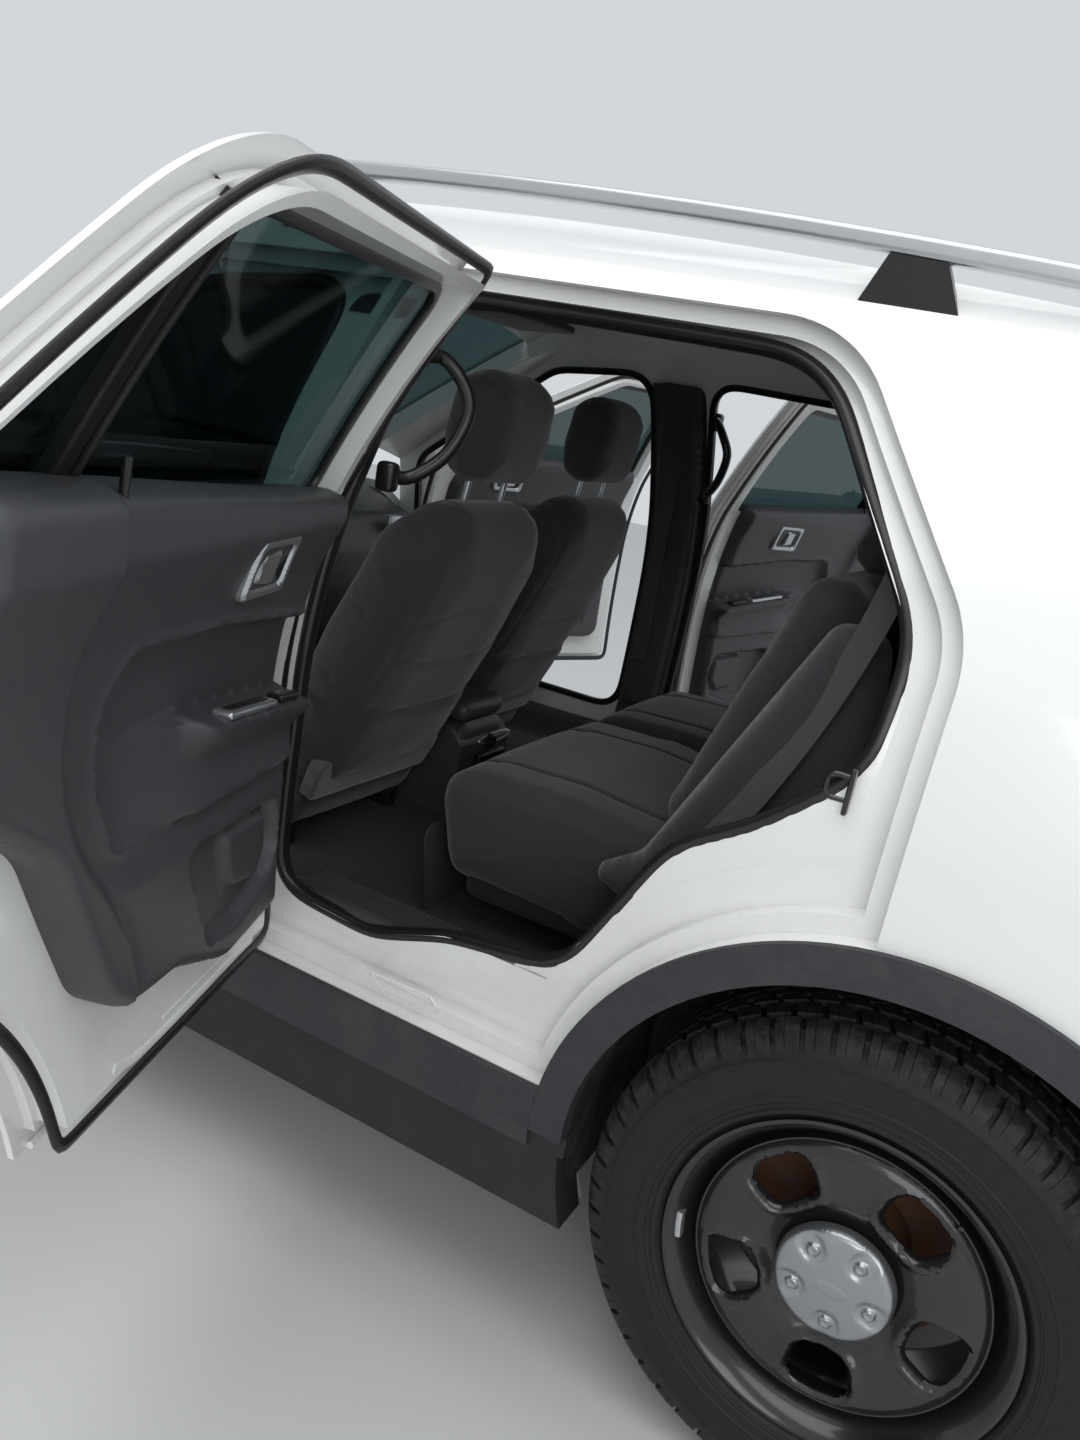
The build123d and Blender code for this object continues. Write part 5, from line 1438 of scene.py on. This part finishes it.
pillar = relief(pillar_edge, [], 14.0, lambda u, v, depth: 44 * crown(depth, 34), flat_back, pillar_place)
both_sides("pillar_trim", pillar, "charcoal_trim", sharp=50.0)
handle_path = smooth_path([(-268, 812, 1500), (-285, 770, 1505), (-318, 748, 1470), (-340, 752, 1420),
                           (-322, 775, 1350), (-285, 812, 1305), (-266, 846, 1300)], 9.0)
handle = joined(sweep(handle_path, round_section(12, 1.0, 14), (0, 0.4, 0.9)),
                soft_box((-282, 800, 1480), (-246, 836, 1530), 10), soft_box((-282, 838, 1275), (-246, 868, 1325), 10))
both_sides("pillar_grab_handle", moved(handle, (0, -72, 0)), "black_plastic")
hang_belt("front_belt", [(-165, 742, 1480), (-150, 790, 1330), (-140, 820, 1180), (-136, 838, 1000),
                         (-140, 842, 760)], (0.1, 1, 0.1), 44.0)
belt_ring = sweep([(-165 + 26 * math.cos(a), 744, 1486 + 12 * math.sin(a))
                   for a in np.linspace(0, 2 * math.pi, 24)[:-1]],
                  round_section(4.5, 1.0, 8), (0, 1, 0), closed=True)
both_sides("belt_ring", belt_ring, "black_plastic")
tell("pillar_", "front_belt", "belt_ring")

# %% [markdown]
# Round the glass, a door frame carries a black run channel, and on the rear door a division bar and a
# small fixed pane. A rubber belt strip seals the glass along the top of the trim, with the lock knob
# standing beside it.

# %% Window frames
rear_window = rounded([(-236, 1262, 12), (-250, 1592, 25), (-943, 1582, 175), (-1168, 1296, 18)])
front_window = rounded([(-96, 1258, 12), (-88, 1592, 25), (225, 1590, 100), (735, 1270, 20)])
channel_section = rounded([(-9, -6, 2), (7, -6, 2), (7, 6, 3), (-9, 6, 3)], 3.0)


for row, outline in (("rear", rear_window), ("front", front_window)):
    door_piece("glass_channel", inner_seal(outline, channel_section, 22.0, -4.0), "black_plastic", row)


def door_bar(start, end, width, thick, depth):
    """A flat bar between two points of the shut door."""
    ends = np.array((start, end), float)
    path = np.stack([ends[0] + (ends[1] - ends[0]) * t for t in np.linspace(0, 1, 14)])
    section = rounded([(-width / 2, -thick / 2, 3), (width / 2, -thick / 2, 3), (width / 2, thick / 2, 3),
                       (-width / 2, thick / 2, 3)], 4.0)
    return sweep(on_side(path, depth), section, lean(path))


door_piece("division_bar", door_bar((-962, 1288), (-938, 1578), 26, 24, 24.0), "black_plastic", "rear")
door_piece("division_seal", door_bar((-944, 1288), (-921, 1582), 8, 34, 24.0), "black_plastic", "rear")
for row, run in (("rear", ((-262, 1272), (-1120, 1312))), ("front", ((-56, 1266), (700, 1278)))):
    door_piece("belt_strip_inner", door_bar(*run, 16, 10, 58.0), "black_plastic", row)
    door_piece("belt_strip_outer", door_bar(*run, 18, 8, 2.0), "black_plastic", row)
knob_path = [(-900, side_y(-900, 1310) - 70, 1300), (-900, side_y(-900, 1310) - 72, 1345)]
door_piece("lock_knob", sweep(smooth_path(knob_path), round_section(5, 1.0, 12), (1, 0, 0)), "black_plastic", "rear")
grip_section = rounded([(-15, -7, 5), (15, -7, 5), (15, 7, 6), (-15, 7, 6)], 5.0)
for row, at in (("rear", -935), ("front", 5)):
    grip = smooth_path([(at + dx, float(side_y(at + dx, 1120)) + out, 1120) for dx, out in (
        (-88, -6), (-76, 22), (0, 36), (76, 22), (88, -6))], 9.0)
    door_piece("outer_handle", sweep(grip, grip_section, (0, 0.2, 1)), "black_plastic", row)
tell("glass_channel", "division_", "belt_strip", "lock_knob", "outer_handle")

# %% [markdown]
# Below its trim the door shows its painted inner sheet. The press leaves long stiffening swages in it:
# shallow ribs with round ends, and a rolled hem along the bottom edge where rust starts.

# %% Pressed ribs of the inner sheet
def rib_strip(corners, width, high, depth):
    path = np.array([(p[0], p[2]) for p in smooth_path([(x, 0.0, z) for x, z in corners], 12.0)])
    section = [(width / 2 * math.cos(a), high * math.sin(a)) for a in np.linspace(0, math.pi, 9)]
    return sweep(on_side(path, depth), section, -lean(path))


ribs = joined(*[rib_strip(line, wide, high, 59.5) for line, wide, high in (
    ([(-262, 524), (-600, 524), (-690, 540)], 16, 2.4), ([(-272, 545), (-560, 543)], 9, 2))])
door_piece("inner_sheet_ribs", ribs, "white_paint", "rear")
hem_line = np.array([(x, 490.0) for x in np.linspace(-180, -800, 40)])
door_piece("door_hem", sweep(on_side(hem_line, 12.0), round_section(5.0, 1.0, 8), lean(hem_line)),
           "white_paint", "rear")
jamb_ribs = joined(*[sweep(on_side(np.array(line, float), depth), round_section(3.0, 0.8, 8),
                           lean(np.array(line, float))) for line, depth in (
    ([(-480, 515), (-600, 520), (-620, 500), (-500, 494), (-480, 515)], 32.0),)])
both_sides("jamb_embossing", jamb_ribs, "white_paint")
tell("inner_sheet", "door_hem", "jamb_")

# %% [markdown]
# The striker is a bent pin on a small steel plate that the door's lock bites on. It is screwed to the
# jamb where the C pillar sweeps down.

# %% Strikers
def striker(x, z, depth, facing):
    y = float(side_y(x, z)) - depth
    plate_shape = soft_box((x - 4, y - 14, z - 32), (x + 3, y + 22, z + 32), 2)
    pin = sweep(smooth_path([(x, y + 6, z - 16), (x + facing * 26, y + 6, z - 15), (x + facing * 32, y + 6, z),
                             (x + facing * 26, y + 6, z + 15), (x, y + 6, z + 16)], 3.0),
                round_section(4.5, 1.0, 10), (0, 1, 0))
    return joined(plate_shape, pin)


both_sides("rear_striker", striker(-1150, 1057, 70, 1), "black_steel")
both_sides("front_striker", striker(-136, 1057, 88, 1), "black_steel")
tell("rear_striker", "front_striker")

# %% [markdown]
# Spray flaps hang from the front foot of each rear flare, and the liner behind the tyre is caked with
# dried slush. The flap is a moulded sheet with a folded rib.

# %% Spray flaps
flap_sheet = soft_box((-858, 720, 262), (-848, 948, 420), 3)
flap_rib = soft_box((-866, 930, 285), (-840, 950, 428), 5)
both_sides("spray_flap", joined(flap_sheet, flap_rib), "liner_plastic")
tell("spray_flap")

# %% [markdown]
# Under the sill cover the body rolls in and is coated in black stone guard, down to the jacking pads.
# A thin black skin follows the body's side there and turns under the sill.

# %% Stone guard under the sills
skirt_top, skirt_low, arch_edge = 378.0, 246.0, 446.0


def sill_end(z):
    """Where the sill ends at the rear wheel arch."""
    return rear_arch[0] + math.sqrt(arch_edge ** 2 - (z - rear_arch[1]) ** 2)


def sill_skin(front_x, count=64):
    rows = [(0, skirt_top), (0, 335), (0, 292), (0, skirt_low + 1), (3.5, skirt_low - 1), (38, skirt_low - 1.5),
            (68, skirt_low - 1.5)]
    outer = [[(x, float(side_y(x, z)) + 2.5 - inward, z) for x in np.linspace(sill_end(z), front_x, count)]
             for inward, z in rows]
    outer = np.array(outer).reshape(-1, 3)
    points = np.concatenate((outer, outer + (0, -1.5, 1.2)))
    half, high = len(rows) * count, len(rows)
    cells = [(r * count + i, (r + 1) * count + i, (r + 1) * count + i + 1, r * count + i + 1)
             for r in range(high - 1) for i in range(count - 1)]
    rim = list(range(count)) + [r * count + count - 1 for r in range(1, high)]
    rim += [(high - 1) * count + i for i in range(count - 2, -1, -1)] + [r * count for r in range(high - 2, 0, -1)]
    faces = [list(cell) for cell in cells] + [[half + i for i in cell[::-1]] for cell in cells]
    faces += [[a, b, half + b, half + a] for a, b in zip(rim, rim[1:] + rim[:1])]
    return points, faces


both_sides("sill_stone_guard", sill_skin(870.0), "stone_guard", slot="liner_plastic")
foot_line = [(sill_end(z) - 1.5, float(side_y(sill_end(z), z)) - 34, z) for z in np.linspace(skirt_low, 404, 12)]
foot_up = np.array([(rear_arch[0] - x, 0, rear_arch[1] - z) for x, y, z in foot_line])
foot_section = [(-37, -0.8), (37, -0.8), (37, 0.8), (-37, 0.8)]
both_sides("arch_foot_guard", sweep(foot_line, foot_section, foot_up), "stone_guard", slot="liner_plastic")
both_sides("flare_foot_patch", soft_box((-886, 928, 370), (-812, 958, 404), 2), "stone_guard", slot="liner_plastic")
pads = joined(*[soft_box((x - 33, 876, 236.5), (x + 33, 929, 248), 3) for x in (-780, 790)])
both_sides("jack_pad_rubber", pads, "stone_guard", slot="liner_plastic")
tell("sill_stone", "arch_foot", "flare_foot", "jack_pad")

# %% [markdown]
# A front door has the same soft trim as the rear one, without the curl round the arch. One height function with
# its own outlines gives it.

# %% Front door trims
front_trim_edge = rounded([(-60, 594, 60), (-60, 1290, 30), (400, 1290, 60), (750, 1232, 60), (784, 1150, 60),
                           (784, 650, 90), (700, 594, 60)], 12.0)
front_insert = rounded([(60, 1115, 60), (560, 1110, 60), (700, 1050, 60), (660, 880, 80), (60, 860, 60)], 12.0)
front_arm = rounded([(20, 985, 20), (430, 1008, 20), (470, 985, 20), (400, 900, 60), (20, 880, 20)], 10.0)
front_pocket = rounded([(40, 800, 30), (640, 800, 40), (620, 640, 50), (40, 640, 30)], 12.0)


def front_trim_height(x, z, depth):
    flat = np.stack((x, z), 1)
    height = 4 + 34 * crown(depth, 26) + 12 * rise(z, 1150, 1250) * (1 - rise(z, 1270, 1300))
    height -= 24 * rise(inside(flat, front_insert), 0, 26)
    height += 58 * rise(inside(flat, front_arm), -4, 16) * rise(z, 870, 985)
    height -= 16 * rise(inside(flat, front_pocket), 0, 10)
    return np.maximum(height, 3.0)


front_trims = door_piece("inner_trim", relief(front_trim_edge, [], 12.0, front_trim_height, flat_back, on_door()),
                         "charcoal_trim", "front", 50.0)
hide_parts("door_front_left_trim")
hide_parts("door_front_right_trim")
ring, cup, lever = bezel_parts(560, 1190, front_trim_height, front_trim_edge)
door_piece("handle_bezel", ring, "satin_silver", "front")
door_piece("handle_cup", cup, "black_plastic", "front")
door_piece("handle_lever", lever, "satin_silver", "front")
tell("inner_trim_front")

# %% [markdown]
# The wheel in the driver's hands is a leather-wrapped ring with a hub, three spokes and a few keys. The
# dash behind it has a hooded cluster, a screen and round vents. They show only through the glass, so
# they are simple, true forms.

# %% Steering wheel and dash details
wheel_axis = Vector((-math.cos(math.radians(22)), 0, math.sin(math.radians(22))))
wheel_right = Vector((0, 1, 0))
wheel_up = wheel_axis.cross(wheel_right) * -1
wheel_centre = Vector((560, 370, 1000))


def on_wheel(radius, angle, height):
    here = (wheel_centre + wheel_right * (radius * math.cos(angle)) + wheel_up * (radius * math.sin(angle))
            + wheel_axis * height)
    return tuple(here)


wheel_ring = sweep([on_wheel(178, a, 0) for a in np.linspace(0, 2 * math.pi, 73)[:-1]], round_section(14.5, 1.15, 14),
                   tuple(wheel_axis), closed=True)
spokes = joined(*[sweep([on_wheel(r, a, -14 + 8 * (r / 178)) for r in (60, 100, 140, 172)],
                        rounded([(-20, -8, 5), (20, -8, 5), (20, 8, 6), (-20, 8, 6)], 5.0), tuple(wheel_axis))
                  for a in (0.12, math.pi - 0.12, -math.pi / 2)])
hub_points = relief(ellipse((0, 0), 160, 150, 40), [], 12.0, lambda u, v, depth: 2 + 22 * crown(depth, 45),
                    lambda u, v, depth: np.full(len(u), -32.0),
                    lambda u, v, h: np.array([on_wheel(math.hypot(a, b), math.atan2(b, a), c)
                                              for a, b, c in zip(u, v, h)]))
column = sweep([on_wheel(0, 0, h) for h in (-88, -60, -30)], round_section(30, 1.0, 20), (0, 1, 0))
wheel_piece = add_piece("steering_wheel_ring", joined(wheel_ring, spokes, hub_points, column), "charcoal_trim",
                        "steering", 45.0)
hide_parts("steering_wheel")
hood_path = smooth_path([(690, 200, 1085), (672, 240, 1130), (665, 370, 1150), (672, 500, 1130),
                         (690, 540, 1085)], 14.0)
add_piece("cluster_hood", sweep(hood_path, rounded([(-60, -6, 4), (40, -6, 4), (40, 6, 4), (-60, 6, 4)], 8.0),
                                (0, 0, 1)), "charcoal_trim", "shell")
add_piece("centre_screen", soft_box((652, -105, 930), (672, 105, 1060), 6), "black_plastic", "shell")
vents = joined(*[soft_box((648, y - 62, 1010), (668, y + 62, 1052), 6) for y in (-600, -180, 180, 600)])
add_piece("dash_vents", vents, "satin_silver", "shell")
mirror_head = soft_box((320, -115, 1528), (352, 115, 1592), 14, 4)
mirror_stalk = sweep(smooth_path([(345, 0, 1580), (392, 0, 1622), (430, 0, 1640)], 10.0), round_section(9, 1.0, 10),
                     (0, 1, 0))
add_piece("cabin_mirror", joined(mirror_head, mirror_stalk), "black_plastic", "shell")
visors = joined(*[turned(soft_box((110, y - 190, 1652), (290, y + 190, 1672), 8), "Y", (290, y, 1652), 4)
                  for y in (-330, 330)])
add_piece("sun_visors", visors, "black_cloth", "shell")
tell("steering_wheel_ring", "cluster_", "sun_visors")

# %% [markdown]
# Outside details lie on curved panels, so their places come from the panels themselves. A ray is sent
# onto a solid's mesh and the point where it meets the surface is where the wiper, plate or bar goes.

# %% Finding the surface of a panel
panel_trees = {}


def surface_point(node_name, origin, direction):
    """Where a ray in mm from an origin first meets a solid; None where it misses."""
    tree = panel_trees.get(node_name)
    if tree is None:
        mesh = nodes[node_name].data
        tree = BVHTree.FromPolygons([tuple(v.co * 1000) for v in mesh.vertices],
                                    [tuple(p.vertices) for p in mesh.polygons])
        panel_trees[node_name] = tree
    found, normal, index, distance = tree.ray_cast(Vector(origin), Vector(direction).normalized())
    return None if found is None else np.array(found)


print("windshield under y 300:", surface_point("windshield", (1100, 300, 2500), (0, 0, -1)))

# %% [markdown]
# Two wipers rest at the foot of the windshield. Each is an arm from a pivot with a cap, and a blade that
# follows the curve of the glass.

# %% Wipers
def wiper(tip_y, pivot_y, low, high, pivot_x):
    ys = np.linspace(pivot_y, tip_y, 12)
    line = []
    for t, y in zip(np.linspace(0, 1, len(ys)), ys):
        x = pivot_x + (low - pivot_x) * t
        hit = surface_point("windshield", (x, y, 2500), (0, 0, -1))
        if hit is not None:
            line.append(hit + (5, 0, 9))
    blade = sweep(line, rounded([(-3, -7, 1), (3, -7, 1), (5, 7, 3), (-5, 7, 3)], 4.0), (0.4, 0, 0.9))
    middle = line[len(line) // 2]
    root = np.array((pivot_x + 35, pivot_y - 0.1 * (tip_y - pivot_y), high))
    arm = sweep(smooth_path([tuple(root), tuple((root + middle) / 2 + (6, 0, 14)), tuple(middle + (0, 0, 9))], 20.0),
                rounded([(-9, -3, 2), (9, -3, 2), (9, 4, 3), (-9, 4, 3)], 4.0), (0.4, 0, 0.9))
    return joined(blade, arm)


add_piece("wipers", joined(wiper(40, -600, 1120, 1160, 1180), wiper(640, 60, 1120, 1160, 1180)), "black_plastic",
          "shell")
tell("wipers")

# %% [markdown]
# The plates are blank: a plain pressed sheet with a raised rim, front and rear, held by two screws.

# %% Blank plates
def number_plate(x, z, facing):
    edge = rounded([(-152, -76, 12), (152, -76, 12), (152, 76, 12), (-152, 76, 12)], 6.0)
    plate_body = relief(edge, [], 8.0, lambda u, v, depth: 1.2 + 2.0 * crown(depth, 4) - 1.6 * rise(depth, 6, 10),
                        lambda u, v, depth: np.full(len(u), -1.0),
                        lambda u, v, h: np.stack((x + facing * h, -facing * u, z + v), 1))
    screws = joined(*[soft_box((x + facing * 1 - 3, y - 6, z + 52), (x + facing * 1 + 3, y + 6, z + 64), 2)
                      for y in (-90, 90)])
    return plate_body, screws


front_hit = surface_point("front_bumper", (3000, 0, 470), (-1, 0, 0))
rear_hit = surface_point("liftgate", (-3000, 0, 960), (1, 0, 0))
print("bumper at", front_hit, "liftgate at", rear_hit)
for name, hit, facing, body in (("front", front_hit, 1, "shell"), ("rear", rear_hit, -1, "tailgate")):
    if hit is not None:
        body_shape, screw_shape = number_plate(float(hit[0]) - facing * 6, float(hit[2]), facing)
        add_piece(f"blank_plate_{name}", body_shape, "satin_silver", body)
        add_piece(f"plate_screws_{name}", screw_shape, "chassis_steel", body)

# %% [markdown]
# Behind each headlamp lens the light units show as bright rings. They stand on the lens where a ray from
# the front meets it.

# %% Lamp rings
lamp_trim = []
for y in (620, 720, 815):
    hit = surface_point("headlamps", (3000, y, 832), (-1, 0, 0))
    if hit is not None:
        ring_line = [(hit[0] - 4 - 0.25 * abs(y - 600) * 0.1, y + 34 * math.cos(a), 832 + 34 * math.sin(a))
                     for a in np.linspace(0, 2 * math.pi, 29)[:-1]]
        lamp_trim.append(sweep(ring_line, round_section(4.0, 1.0, 8), (1, 0, 0), closed=True))
if lamp_trim:
    both_sides("lamp_rings", joined(*lamp_trim), "satin_silver")
tell("lamp_rings")

# %% [markdown]
# The stage is a pale floor, and the light is soft, as under an even sky. The camera stands where the
# photographer stood: above and behind the left rear wheel, tilted to the left.

# %% Floor, light and camera
floor_half_side = 14.0


def stage_floor():
    size = floor_half_side
    mesh = bpy.data.meshes.new("floor")
    mesh.from_pydata([(-size, -size, 0), (size, -size, 0), (size, size, 0), (-size, size, 0)], [],
                     [(0, 1, 2, 3)])
    floor = bpy.data.objects.new("floor", mesh)
    scene.collection.objects.link(floor)
    mat = Finish("floor_finish", (0.62, 0.62, 0.61), 0.8)
    floor.data.materials.append(mat.material)


def sky_light():
    world = bpy.data.worlds.new("sky")
    scene.world = world
    world.use_nodes = True
    world.node_tree.nodes["Background"].inputs[0].default_value = (0.86, 0.9, 0.95, 1.0)
    world.node_tree.nodes["Background"].inputs[1].default_value = 0.75


def soft_lamp(name, place, target, size, power, color=(1, 1, 1)):
    lamp = bpy.data.lights.new(name, "AREA")
    lamp.shape = "RECTANGLE"
    lamp.size, lamp.size_y = size
    lamp.energy = power
    lamp.color = color
    obj = bpy.data.objects.new(name, lamp)
    obj.location = place
    obj.rotation_euler = (Vector(target) - Vector(place)).to_track_quat("-Z", "Y").to_euler()
    scene.collection.objects.link(obj)


def photo_camera():
    place = Vector((-1.3704, 2.3205, 1.4520))
    yaw, pitch, roll = math.radians(25.778), math.radians(15.586), math.radians(10.522)
    ahead = Vector((math.sin(yaw) * math.cos(pitch), -math.cos(yaw) * math.cos(pitch),
                    -math.sin(pitch)))
    right = ahead.cross(Vector((0, 0, 1))).normalized()
    up = right.cross(ahead)
    tilted_right = right * math.cos(roll) + up * math.sin(roll)
    tilted_up = up * math.cos(roll) - right * math.sin(roll)
    data = bpy.data.cameras.new("photo camera")
    data.sensor_width = 36.0
    data.lens = 27.38
    data.clip_start = 0.05
    camera = bpy.data.objects.new("photo camera", data)
    basis = Matrix((tilted_right, tilted_up, -ahead)).transposed().to_4x4()
    camera.matrix_world = Matrix.Translation(place) @ basis
    scene.collection.objects.link(camera)
    scene.camera = camera


stage_floor()
sky_light()
soft_lamp("overhead softbox", (-1.0, 1.5, 5.5), (-0.5, 0.3, 0.8), (6.0, 5.0), 172.0)
soft_lamp("side softbox", (-3.5, 6.0, 3.0), (-0.8, 0.5, 0.9), (4.0, 3.0), 90.0)
photo_camera()
scene.view_settings.view_transform = "Standard"
print("camera at", tuple(round(v, 4) for v in scene.camera.location), "lens", scene.camera.data.lens)
